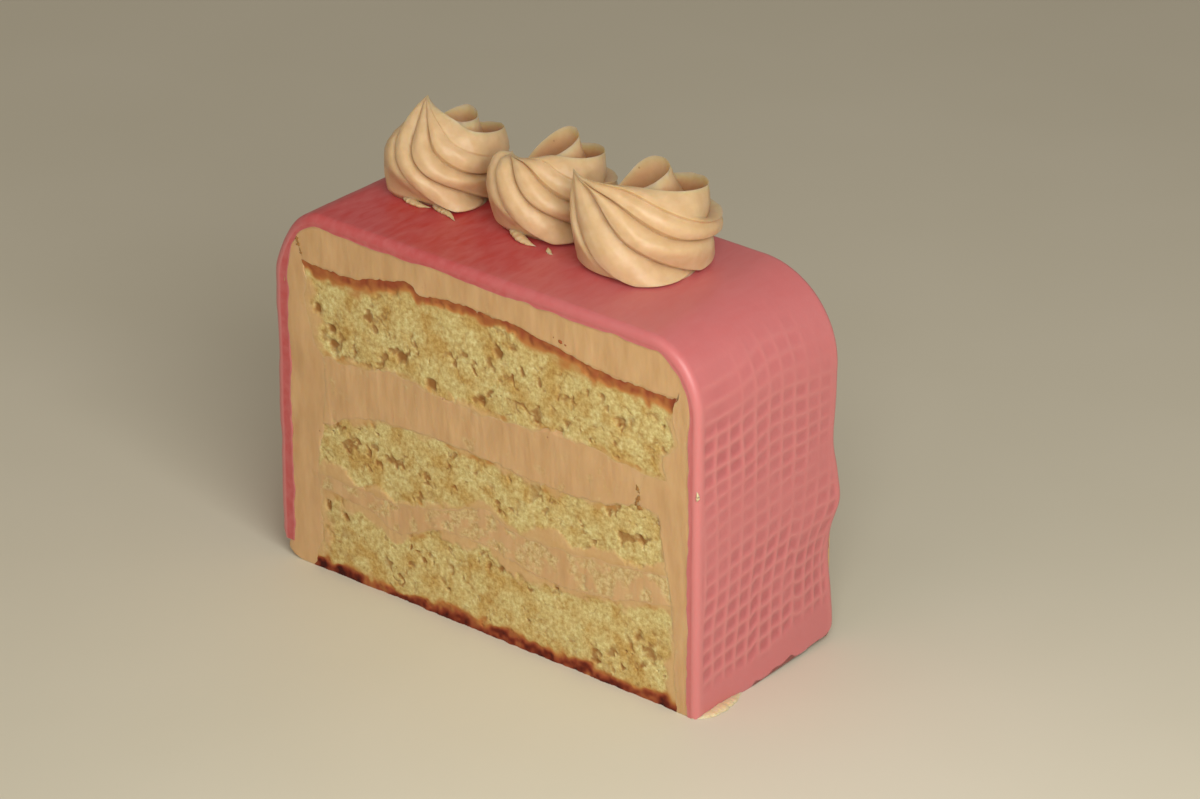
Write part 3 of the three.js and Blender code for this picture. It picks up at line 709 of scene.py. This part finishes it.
def fondant():
    """The skin, one closed band: for each point of its section a loop runs over the outer face, the back
    cut, the inner face and the front cut. The cuts' inner edges waver."""
    steps = (200, 60, 84)
    depth_steps, edge_steps = 133, 8
    widest_arris = 1.7
    corner = HALF_DEPTH - widest_arris * (1 - np.sin(np.linspace(0, np.pi / 2, edge_steps)))
    flat = np.linspace(-corner[0], corner[0], depth_steps)[1:-1]
    y = np.concatenate([-corner[::-1], flat, corner])[None, :]

    x, z = section(y, 0, steps)
    wall_z = np.where(x < 0, z + LEFT_LOWER, z)
    from_cut = HALF_DEPTH - np.abs(y)
    on_wall = ease((WALLS_TOP_Z - z) / 9)
    arris = widest_arris - 0.5 * on_wall
    rolled = arris - np.sqrt(arris**2 - (arris - from_cut).clip(0) ** 2)
    pits, shows = imprint(y + 0 * x, wall_z)
    fade = shows * ease((WALLS_TOP_Z + 3 - z) / 9) * ease(from_cut - SMOOTH_MARGIN + 0.5)
    inset = rolled + PIT_DEPTH * fade * pits + uneven_walls(x, y, z) * ease(from_cut / 1.5 + 0.35)
    x, z = section(y, inset, steps, hem(y))
    cut_y = np.array([[-HALF_DEPTH, HALF_DEPTH]])
    inner_x, inner_z = section(cut_y, FONDANT, steps)
    waver = 0.3 * noise(inner_z, inner_x, 3.6, 87) + 0.15 * noise(inner_z, inner_x, 1.5, 88)
    waver = waver + 0.9 * (inner_x < 0) * ease((WALLS_TOP_Z - 2 - inner_z) / 8)
    inner_x, inner_z = section(cut_y, FONDANT + waver, steps)

    from_left = np.clip((x + END_X) / (2 * END_X), 0, 1)
    # The top is deep red with fine streaks, strongest at the left and fading towards the right.
    drawn = 1 - 0.8 * ease((from_left - 0.35) / 0.55)
    damp = ease((z - (WALLS_TOP_Z - 2)) / 6) * drawn * ease((from_cut + 5) / 9)
    # Painted shade in the imprint's pits and painted highlight on its ridges.
    pressed = np.clip(0.4 + fade * (0.9 * pits - 0.35), 0, 1)
    # Painted highlight along the arrises of the end walls.
    rim = ease(1.6 - from_cut / widest_arris) * on_wall
    pressed = blend(pressed, 0.2, rim)
    piece = Piece("pressed", "damp")
    stands_out = np.interp(z, back_edge[:, 1], back_edge[:, 0])
    stands_out = stands_out * ease((y - 11) / 10.2) * ease((x - 40) / 8)
    outer = piece.grid(x, y + stands_out, z, pressed=pressed, damp=damp)
    inner = piece.grid(inner_x, cut_y, inner_z, flip=True, pressed=0.4)
    cuts = []
    across = np.linspace(0, 1, CUT_STEPS + 1)[None, :]
    for side, column in ((FRONT, 0), (BACK, -1)):
        cut_x = blend(x[:, [column]], inner_x[:, [column]], across)
        cut_z = blend(z[:, [column]], inner_z[:, [column]], across)
        hollow = 0.04 * np.sin(np.pi * across) * (1 + noise(cut_x, cut_z, 2.4, 91))
        cut = side * (HALF_DEPTH - hollow) + stands_out[:, [column]] * (1 - across)
        # The cut faces are redder towards the left.
        reddened = 0.2 + 0.5 * drawn[:, [column]]
        cuts.append(piece.grid(cut_x, cut, cut_z, flip=side == FRONT, pressed=0.3, damp=reddened))
    between = np.arange(1, CUT_STEPS)
    for row, order in ((0, 1), (len(x) - 1, -1)):
        front, back = (start + row * (CUT_STEPS + 1) + between for start in cuts)
        over = outer + row * y.size + np.arange(y.size)
        under = inner + row * cut_y.size + np.array([1, 0])
        ring = np.concatenate([over, back, under, front[::-1]])
        piece.faces.append(ring[None, ::order])
    piece.made("sugar_skin", FONDANT_PASTE, ["fondant"], "fondant")


def coat_lines(y):
    """The coat's line round the stack of layers, and its rim under the fondant at depth y, as many points.
    """
    left = joined(left_bottom, left_lower_cream, left_middle, left_upper_cream, left_top)
    right = joined(
        right_top[::-1], top_ledge[::-1], right_upper_cream[::-1], middle_ledge,
        right_middle[::-1], right_lower_cream[::-1], right_bottom[::-1],
    )
    outer_x, outer_z = section(np.array([[y]]), FONDANT - TUCKED_UNDER, (60, 40, 20))
    outer = np.stack([outer_x[:, 0], outer_z[:, 0]], 1)
    outer = joined(smooth_line([(-46.8, 0), (-48.8, 0.6), (-50.2, 1.9), outer[0]]), outer)
    turn_left, turn_right = (
        np.argmin(np.abs(outer - corner).sum(1)) for corner in ((-44.8, 68), (46, 69))
    )

    def beside(line, skin):
        """Points of the skin level with a side's points, stretched towards the top so that both end there.
        """
        rising = line[-1, 1] > line[0, 1]
        order = 1 if rising else -1
        height = (np.maximum if rising else np.minimum).accumulate(line[:, 1])
        lifted = (skin[:, 1].max() - line[:, 1].max()) * ease((height - 52) / 11)
        along = lengths(skin)
        at = np.interp(height + lifted, skin[::order, 1], along[::order])
        return np.stack([np.interp(at, along, skin[:, n]) for n in range(2)], 1)

    inner, rim = [], []
    for stack, skin, count in (
        (left, outer[: turn_left + 1], 240),
        (crown, outer[turn_left: turn_right + 1], 330),
        (right, outer[turn_right:], 270),
    ):
        line = even(stack, count)
        inner.append(line)
        rim.append(even(skin, count) if stack is crown else beside(line, skin))
    return joined(*inner), joined(*rim)


def coat():
    """The cream between the stack of layers and the fondant, up the left, over the top and down the right:
    its cut faces run in from the rim under the fondant to the stack, and a little on under the sponges,
    deeper."""
    across = np.linspace(-0.15, 1, COAT_STEPS)[None, ::-1]
    faces, values = [], []
    for side in (FRONT, BACK):
        inner, rim = coat_lines(side * HALF_DEPTH)
        x, z = (blend(inner[:, [n]], rim[:, [n]], across) for n in range(2))
        z = z.clip(0)
        from_stack = np.hypot(x - inner[:, [0]], z - inner[:, [1]]) * np.sign(across)
        caught = 0.4 * ease(0.9 * rough(x, z, 1.8, 3, own_seed(305, side)) - 0.3 - 0.2 * from_stack)
        under = UNDER_DEPTH * ease(-from_stack / 0.5) + 0.15 * ease((across - 0.9) / 0.1) + 0.02
        faces.append((x, side * (HALF_DEPTH - cream_depth(x, z, side) - under - 0.05 * caught), z))
        values.append({"tinted": caught})
    closed_layer("cream_coat", CREAM, "buttercream_coat", "filling", faces, values)


# Rosettes

# The seven ribs of a rosette fan out from its peak and wind round it down to the foot. Each lands so many
# degrees round from the peak's side. After each quarter of its way it stands this far out from the axis,
# and after the first three of them up at these shares of the height. The slope above it swells out, then
# turns in to a crease close under the next rib; width is the share of the slope that the crease's underside
# takes. A recess draws the foot in. A well sinks beside the ribs round the hollows: it leans down by its
# tilt, and opens and closes along the way.
RIBS = [
    dict(lands=18, up=(0.94, 0.75, 0.4), out=(13, 13.3, 12.8, 12), crease=2.2, swell=0.4),
    dict(lands=130, up=(0.7, 0.39, 0.12), out=(12.7, 13.5, 13.6, 14.3), crease=2.6, width=0.13,
         swell=0.6),
    dict(lands=162, up=(0.85, 0.49, 0.23), out=(11.5, 13.3, 12.6, 13.5), crease=2.4, width=0.14,
         swell=0.6),
    dict(lands=250, up=(0.88, 0.48, 0.31), out=(11, 13.3, 15, 12.8), crease=1.2, swell=0.5),
    dict(lands=310, up=(0.97, 0.57, 0.43), out=(9.5, 14.8, 14.2, 12.6), swell=0.2,
         well=dict(depth=2.4, tilt=0.1, opens=0.4, closes=0.8, bend=1)),
    dict(lands=340, up=(0.97, 0.86, 0.62), out=(7.4, 12.2, 12.4, 12),
         well=dict(depth=5.5, tilt=0.9, opens=0.1, closes=0.95, bend=2.2)),
    dict(lands=360, up=(0.9, 1.01, 0.93), out=(5, 5.3, 6.2, 12)),
]

# Distance of the peak from the axis, share of a slope that a well takes, depth of the hollow between the
# last rib and the first, and share by which the feet are tucked in
PEAK_OUT = 12.4
WELL_SHARE = 0.12
HOLLOW_DEPTH = 8
TUCK = 0.11

# Creases are pressed in towards a rosette's heart, less so up and down than sideways.
HEART = np.array([-3, 0, 6])
SIDEWAYS = np.array([1, 1, 0.6])

# All rosettes are turned alike. Next to each other they are flattened, over this distance, at a narrow gap.
PIPING_TURN = math.radians(39.8)
ROSETTE_GAP = 0.3
FLATTENED = 0.15

# Steps of a rosette's mesh along the ribs, closer together towards the peak by this power, and up a slope:
# in its well, on its rise and in its crease
RIB_STEPS = 110
PEAK_CROWDING = 1.3
WELL_STEPS, RISE_STEPS, CREASE_STEPS = 4, 14, 5

# The rosettes, left to right, each with what differs in its own ribs. A lean carries the peak towards the
# middle, and a lift raises it.
ROSETTES = [
    dict(
        name="left_rosette", node="rosette_left", x=-31.3, y=3, size=0.9, height=18, lean=5.2, lift=3.7,
        ribs={
            0: dict(up=(0.9, 0.66, 0.32), out=(12.5, 12, 11.6, 11), recess=4),
            1: dict(lands=117, up=(0.75, 0.42, 0.15), out=(12.4, 12.8, 12.8, 14.3)),
            3: dict(crease=0.4),
            4: dict(up=(0.92, 0.6, 0.4), well=None),
            5: dict(up=(1, 0.83, 0.5), out=(7.4, 14, 13.4, 12),
                    well=dict(depth=5.5, tilt=0.9, opens=0.1, closes=0.85, bend=2.2)),
            6: dict(up=(0.97, 0.95, 0.88), out=(5, 6.7, 6.2, 11.4)),
        },
    ),
    dict(
        name="middle_rosette", node="rosette_middle", x=-6, y=4.6, size=0.9, height=19.2, lean=2.8, lift=-3,
        ribs={
            0: dict(up=(0.85, 0.64, 0.32), out=(12.8, 12.8, 12, 10.2), recess=2.6),
            1: dict(lands=107, up=(0.8, 0.37, 0.14), out=(13.1, 13.1, 13, 13)),
            3: dict(crease=0.6),
            4: dict(up=(0.94, 0.57, 0.43)),
            6: dict(out=(5, 5.3, 6.2, 9.8)),
        },
    ),
    dict(
        name="right_rosette", node="rosette_right", x=17.8, y=3.8, size=1, height=18, lean=0, lift=0,
        ribs={
            0: dict(up=(0.76, 0.55, 0.28), recess=1),
            1: dict(lands=95, up=(0.59, 0.29, 0.09), out=(12.9, 13.6, 13.8, 13.9)),
            2: dict(up=(0.87, 0.46, 0.16)),
        },
    ),
]


def through(values, way):
    """A smooth curve through evenly spaced values, at each way from 0 to 1: between two values a cubic, with
    half the difference of the values on either side as its slope at each."""
    last = len(values) - 1
    i = np.minimum(last - 1, np.floor(way * last).astype(int))
    f = way * last - i
    v = np.array(values, float)
    a, b, c, d = (v[np.clip(i + n, 0, last)] for n in (-1, 0, 1, 2))
    return 0.5 * (2 * b + (c - a) * f + (2 * a - 5 * b + 4 * c - d) * f**2 + (3 * b - a - 3 * c + d) * f**3)


def polar(degrees, out, z):
    """Points at an angle from the peak's side, so far out and so high."""
    angle = np.radians(degrees)
    return np.stack([-out * np.cos(angle), -out * np.sin(angle), z + 0 * angle], -1)


def creased_in(rib, way, share, apart):
    """How far a slope is pressed in: a crease under the next rib, less a swelling below it. Both are
    shallower where the ribs run close together, and the crease fades out towards the peak."""
    width = rib.get("width", 0.1)
    crease = rib.get("crease", 0)
    rise = (share / (1 - width)).clip(0, 1)
    underside = np.sin(np.pi / 2 * ((1 - share) / width).clip(0, 1))
    deep = crease and crease * np.tanh(0.6 * apart / crease) * ease((way + 0.03) / 0.3)
    out = rib.get("swell", 0) * np.tanh(apart / 4) * np.sin(np.pi * rise)
    return np.where(share > 1 - width, underside, rise**2.1) * 0.68 * deep - out


def well_depth(well, way, share):
    """How far a well is pressed in: deepest just above its rib, open between its two ends."""
    climb = ((share - WELL_SHARE) / (1 - WELL_SHARE)).clip(0, 1)
    across = np.where(share < WELL_SHARE, share / WELL_SHARE, 1 - climb ** well["bend"])
    return well["depth"] * across * ease((way - well["opens"]) / 0.15) * ease((well["closes"] - way) / 0.15)


def rib_slope(ribs, k, way, share, spec):
    """Points of the slope from rib k up to the next one, a row for each way and a column for each share, and
    how deep each lies in a crease, a well or the hollow between the last rib and the first."""
    rib = ribs[k]
    height = spec["height"]
    low, high = (
        [way * r["lands"], through([PEAK_OUT, *r["out"]], way), height * through([1, *r["up"], 0], way)]
        for r in (rib, ribs[(k + 1) % len(ribs)])
    )

    def lean_pull(points):
        """How far the lean pulls points sideways: most at the peak, hardly at half the height."""
        return spec["lean"] * np.minimum(1.1, points[..., 2] / height) ** 5 * (1 - points[..., 0] / 12)

    if k == len(ribs) - 1:
        points = blend(polar(*low), polar(*high), share[..., None])
        points[..., 0] += lean_pull(points)
        across = np.sin(np.pi * share**0.33).clip(0) ** 0.8
        pressed = HOLLOW_DEPTH * across * ease((way + 0.03) / 0.38) * ((0.92 - way) / 0.25).clip(0, 1)
        points[..., 2] -= pressed
    else:
        points = polar(*(blend(a, b, share) for a, b in zip(low, high)))
        well = rib.get("well")
        tilt = well["tilt"] if well else 0
        inward = unit((HEART - points) * SIDEWAYS) * (1 - tilt)
        inward[..., 2] -= tilt
        inward = unit(inward)
        apart = np.linalg.norm(polar(*high) - polar(*low), axis=-1)
        pressed = creased_in(rib, way, share, apart) + (well_depth(well, way, share) if well else 0)
        landed = 0.4 + 0.6 * np.sqrt(((1 - way) / 0.1).clip(0, 1))
        points[..., 0] += lean_pull(points)
        points += inward * (pressed * landed)[..., None]
    recess = rib.get("recess", 0) / 13 * np.sin(np.pi * share) * ease((way - 0.55) / 0.45)
    drawn = (1 - recess) * (1 - TUCK * ease((way - 0.9) / 0.1))
    points[..., :2] *= drawn[..., None]
    points[..., 2] = np.where(way == 1, 0, points[..., 2].clip(0))
    return points, pressed


def slope_shares(rib):
    """Shares up a slope, crowded in its well at the bottom and in its crease at the top."""
    crease = 1 - rib.get("width", 0.1)
    return np.concatenate([
        np.linspace(0, WELL_SHARE, WELL_STEPS, endpoint=False),
        np.linspace(WELL_SHARE, crease, RISE_STEPS, endpoint=False),
        np.linspace(crease, 1, CREASE_STEPS, endpoint=False),
    ])[None, :]


def rosette(n):
    """One rosette: the ribs' slopes side by side, roughened where the cream tore, turned, set on the cake
    and pressed flat where its neighbours touch it. They meet in its peak, and a fan closes its foot."""
    spec = ROSETTES[n]
    size = spec["size"]
    ribs = [{**rib, **spec["ribs"].get(k, {})} for k, rib in enumerate(RIBS)]
    way = (np.arange(RIB_STEPS + 1) / RIB_STEPS)[:, None] ** PEAK_CROWDING
    slopes = [
        rib_slope(ribs, k, *np.broadcast_arrays(way, slope_shares(rib)), spec) for k, rib in enumerate(ribs)
    ]
    points, deep = (np.concatenate([*part, part[0][:, :1]], 1) for part in zip(*slopes))
    points[0] = points[0, 0]
    x, y, z = np.moveaxis(points, -1, 0)
    grain = rough(x + 0.6 * z, y - 0.5 * z, 1.6, 3, 600 + n)
    grain = grain + 0.5 * noise(x - 0.5 * z, y + 0.8 * z, 0.8, 640 + n)
    out = np.hypot(x, y)
    steady = ease(way / 0.1) * ease((1 - way) / 0.04)
    x, y = (v * (1 + 0.08 * grain * steady / np.maximum(out, 1)) for v in (x, y))
    z = z + spec["lift"] * bell(way / 0.16) + 0.04 * grain * steady
    x, y, z = x * size, y * size, z * size
    turn, lean = math.cos(PIPING_TURN), math.sin(PIPING_TURN)
    x, y = x * turn - y * lean + spec["x"], x * lean + y * turn + spec["y"]
    for other in ROSETTES[max(0, n - 1): n + 2]:
        if other is spec:
            continue
        towards = math.copysign(1, other["x"] - spec["x"])
        meet = spec["x"] + (other["x"] - spec["x"]) * size / (size + other["size"])
        meet -= towards * ROSETTE_GAP / 2
        beyond = (x - meet) * towards
        x = meet - towards * FLATTENED * np.logaddexp(0, -beyond / FLATTENED)
    z = z + TOP_Z
    # Painted shade: browner the deeper a point lies in a crease, a well or the hollow, fading out towards
    # the peak.
    tinted = 0.8 * ease((deep - 0.5) / 3.4) * ease(way / 0.2)
    piece = Piece("tinted")
    piece.grid(x, y, z, tinted=tinted)
    middle = [np.broadcast_to(np.mean(v[-1]), v[-1].shape) for v in (x, y)]
    piece.grid(np.stack([x[-1], middle[0]]), np.stack([y[-1], middle[1]]), TOP_Z)
    piece.made(spec["name"], PIPED_CREAM, [spec["node"]], "rosette", sharp=70)


# Small pieces

def dab(piece, path, radii, seed, flat=1.0, squash=1.0, lumpy=0.15, **values):
    """A lump drawn out along a smooth path of points: a round section that widens and narrows through the
    radii, is flattened by flat and made lumpy by noise. The radii are 0 at both ends, which closes it."""
    line = smooth_line(path, step=0.15)
    line = even(line, max(16, len(line)))
    t = np.linspace(0, 1, len(line))[:, None]
    count = len(radii)
    radius = np.interp(t, np.linspace(0, 1, count), radii)
    slope = unit(np.gradient(line, axis=0))
    side = unit(np.cross(slope, [0, 0, 1.0]))
    upward = np.cross(side, slope)
    angle = np.linspace(0, 2 * np.pi, 15)[None, :]
    bumps = 1 + lumpy * noise(4 * t * count + seed, 1.3 * np.cos(angle), 1.0, seed)
    bumps = bumps * (1 + 0.6 * lumpy * noise(7 * t * count, 1.3 * np.sin(angle), 1.0, seed + 3))
    along_side, along_up = radius * bumps * np.cos(angle) * squash, radius * bumps * np.sin(angle) * flat
    x, y, z = (
        line[:, [n]] + side[:, [n]] * along_side + upward[:, [n]] * along_up for n in range(3)
    )
    piece.grid(x, y, np.maximum(z, 0.0), **values)


def piped_tails():
    """Thin tails of cream where the nozzle left the feet of the left and middle rosettes, and between the
    middle and right ones: curled or torn ridges lying on the fondant."""
    piece = Piece("tinted")
    top = TOP_Z + 0.1
    tails = [
        ([(-34.2, -3.2, top + 0.7), (-31.8, -4.8, top + 0.4), (-29, -5.2, top + 0.2), (-26.6, -4.4, top)],
         (0, 1, 0.9, 0.6, 0)),
        ([(-27.6, -2.8, top + 0.8), (-25, -4, top + 0.3), (-22.4, -4.6, top + 0.2), (-19, -6.2, top)],
         (0, 1, 0.8, 0.45, 0)),
        ([(-8.4, -1.4, top + 1.6), (-6, -3.6, top + 0.7), (-3, -5.1, top + 0.3), (0, -5.1, top)],
         (0, 1.3, 1.2, 0.8, 0)),
        ([(2.4, -4.6, top + 0.4), (3.6, -5.6, top), (4.8, -6, top)], (0, 0.5, 0.35, 0)),
    ]
    for n, (path, radii) in enumerate(tails):
        dab(piece, path, radii, 700 + 11 * n, flat=0.6)
    piece.made("piped_tails", PIPED_CREAM, [], "rosette")


def pressed_out_cream():
    """Coat cream that has oozed from under the end's foot at its front corner, and a crumb of it that sticks
    to the cut edge higher up."""
    piece = Piece("tinted")
    x = END_X - 0.5
    dabs = [
        ([(x - 0.6, -21.6, 0.1), (x + 0.9, -18.4, 0.1), (x + 1, -13, 0.1), (x, -6.6, 0.1)],
         (0, 1.2, 1.4, 1, 0), 0.45),
        ([(x, -21, 45), (x + 0.2, -20.9, 46), (x, -21, 47.2)], (0, 0.5, 0.35, 0), 0.7),
    ]
    for n, (path, radii, flat) in enumerate(dabs):
        dab(piece, path, radii, 800 + 11 * n, flat)
    piece.made("pressed_out_cream", OOZED_CREAM, [], "filling")


def painted_hem_shadow():
    """A thin dark brown line along the torn hem of the right end: painted shadow for the gap under the
    lifted hem.
    """
    piece = Piece("pore", "browned", "creamy")
    y = np.linspace(-4.6, 20.4, 60)
    path = np.stack([np.full_like(y, END_X - 0.5), y, hem(y) - 0.02], 1)
    dab(piece, path, (0, 0.3, 0.2, 0.32, 0.3, 0.22, 0.3, 0.26, 0.3, 0), 850, lumpy=0.3, browned=0.8)
    piece.made("painted_hem_shadow", SPONGE, [], "sponge")


def crust_crumbs():
    """Brown crumbs of crust in the cream above the top sponge, and two dragged lines of them beside it."""
    piece = Piece("pore", "browned", "creamy")
    face = -HALF_DEPTH + 0.35
    places = [
        (19.2, 67.2, 0.45), (20.4, 66.9, 0.3), (17.6, 67.6, 0.22), (-41.5, 65.6, 0.3), (26.5, 65.4, 0.25),
    ]
    for n, (x, z, radius) in enumerate(places):
        path = [(x - 1.6 * radius, face, z + 0.2), (x, face, z), (x + 1.6 * radius, face, z - 0.15)]
        dab(piece, path, (0, radius, 0.8 * radius, 0), 900 + 7 * n, squash=0.6, pore=0.9, browned=0.55)
    dragged = [
        [(39, 39.2), (37.2, 40), (37.9, 41.8), (37.6, 43.2), (37, 44.4)],
        [(-46.4, 70), (-45.6, 68), (-44.6, 65.4)],
    ]
    for n, line in enumerate(dragged):
        path = [(x, face - 0.05, z) for x, z in line]
        dab(piece, path, (0, 0.42, 0.25, 0.45, 0.2, 0.4, 0), 960 + 7 * n, squash=0.8, lumpy=0.6, pore=0.9)
    piece.made("crust_crumbs", SPONGE, [], "sponge")


# The scene

def floor():
    """A wide flat floor that the slice stands on."""
    reach = 1500 * MM
    corners = [(-reach, -reach, 0), (reach, -reach, 0), (reach, reach, 0), (-reach, reach, 0)]
    mesh = bpy.data.meshes.new("floor")
    mesh.from_pydata(corners, [], [(0, 1, 2, 3)])
    mesh.materials.append(floor_material())
    in_scene("floor", mesh)


def direction(azimuth, elevation):
    """The direction from the slice at an angle round it and an angle up, both in degrees."""
    azimuth, elevation = math.radians(azimuth), math.radians(elevation)
    level = math.cos(elevation)
    return Vector((math.sin(azimuth) * level, -math.cos(azimuth) * level, math.sin(elevation)))


def look_from(name, data, target, away, distance):
    """Puts a camera or a light at a distance from its target, looking at it."""
    made = in_scene(name, data)
    facing = away.to_track_quat("Z", "Y").to_matrix().to_4x4()
    made.matrix_world = Matrix.Translation(target + away * distance) @ facing
    return made


def place_camera():
    """A long lens about 40 degrees round from the cut face and 26 degrees up, as the photograph was taken:
    the slice's middle stands to the left in the view, and low."""
    azimuth, elevation = 39.80, 26.25
    distance, middle_z, view_right, view_up = 995.2, 37.5, 8.546, 3.624
    away = direction(azimuth, elevation)
    right = direction(azimuth + 90, 0)
    up = away.cross(right)
    target = (right * view_right + Vector((0, 0, middle_z)) + up * view_up) * MM
    data = bpy.data.cameras.new("camera")
    data.sensor_width = 36
    data.sensor_fit = "HORIZONTAL"
    data.lens = 157.7
    bpy.context.scene.camera = look_from("camera", data, target, away, distance * MM)


def place_light(name, azimuth, elevation, distance, size, power, colour):
    """A square soft light that looks at the slice's middle, with its distance and size in metres."""
    middle = Vector((0, 0, 40 * MM))
    data = bpy.data.lights.new(name, "AREA")
    data.shape = "SQUARE"
    data.size = size
    data.energy = power
    data.color = to_linear(colour)[:3]
    look_from(name, data, middle, direction(azimuth, elevation), distance)


def set_world(colour, strength):
    """Even soft light from all round."""
    world = bpy.data.worlds.new("soft_room")
    world.use_nodes = True
    background = world.node_tree.nodes["Background"]
    background.inputs["Color"].default_value = to_linear(colour)
    background.inputs["Strength"].default_value = strength
    bpy.context.scene.world = world


SPONGE = sponge_material()
CREAM = buttercream_material(
    "cut_buttercream", light="#d6b081", dark="#c79f70", crumb_and_shade_colours=("#b6945a", "#dcca96"),
    roughness=0.5, glow=1, streak=(1, 1, 0.25),
)
# The piped cream's two tints are painted shade for its hollows and creases.
PIPED_CREAM = buttercream_material(
    "piped_buttercream", light="#d8bb93", dark="#ceaf84", crumb_and_shade_colours=("#ac7950", "#b4835a"),
    roughness=0.42, glow=3, streak=(1, 1, 1),
)
OOZED_CREAM = buttercream_material(
    "oozed_buttercream", light="#e0caa6", dark="#d8bf98", crumb_and_shade_colours=("#b6945a", "#dcca96"),
    roughness=0.45, glow=1.5, streak=(1, 1, 1),
)
FONDANT_PASTE = fondant_material()

sponge(
    "bottom_sponge", "sponge_bottom", foot, lower_cream_bottom, left_bottom, right_bottom, 10,
    bottom_crust=2.6, reach=(0, 4),
)
filling(
    "lower_cream", "filling_lower", lower_cream_bottom, lower_cream_top, left_lower_cream, right_lower_cream,
    400, crumbs=0.8, covered=0.5,
)
sponge(
    "middle_sponge", "sponge_middle", lower_cream_top, joined(upper_cream_bottom, middle_ledge), left_middle,
    right_middle, 110, reach=(4.5, 2.5),
)
filling(
    "upper_cream", "filling_upper", upper_cream_bottom, upper_cream_top, left_upper_cream, right_upper_cream,
    500, crumbs=0.6, covered=-0.4,
)
sponge(
    "top_sponge", "sponge_top", joined(upper_cream_top, top_ledge), crown, left_top, right_top, 210,
    top_crust=2.4, reach=(2, 0),
)
coat()
fondant()
for number in range(len(ROSETTES)):
    rosette(number)
piped_tails()
pressed_out_cream()
painted_hem_shadow()
crust_crumbs()

floor()
place_camera()
place_light("key", azimuth=55, elevation=32, distance=0.4, size=0.24, power=1.32, colour="#fffbf4")
place_light("fill", azimuth=-10, elevation=45, distance=1.2, size=0.9, power=1.9, colour="#fff3e2")
set_world(colour="#fff3e2", strength=0.3)
bpy.context.scene.view_settings.view_transform = "Standard"
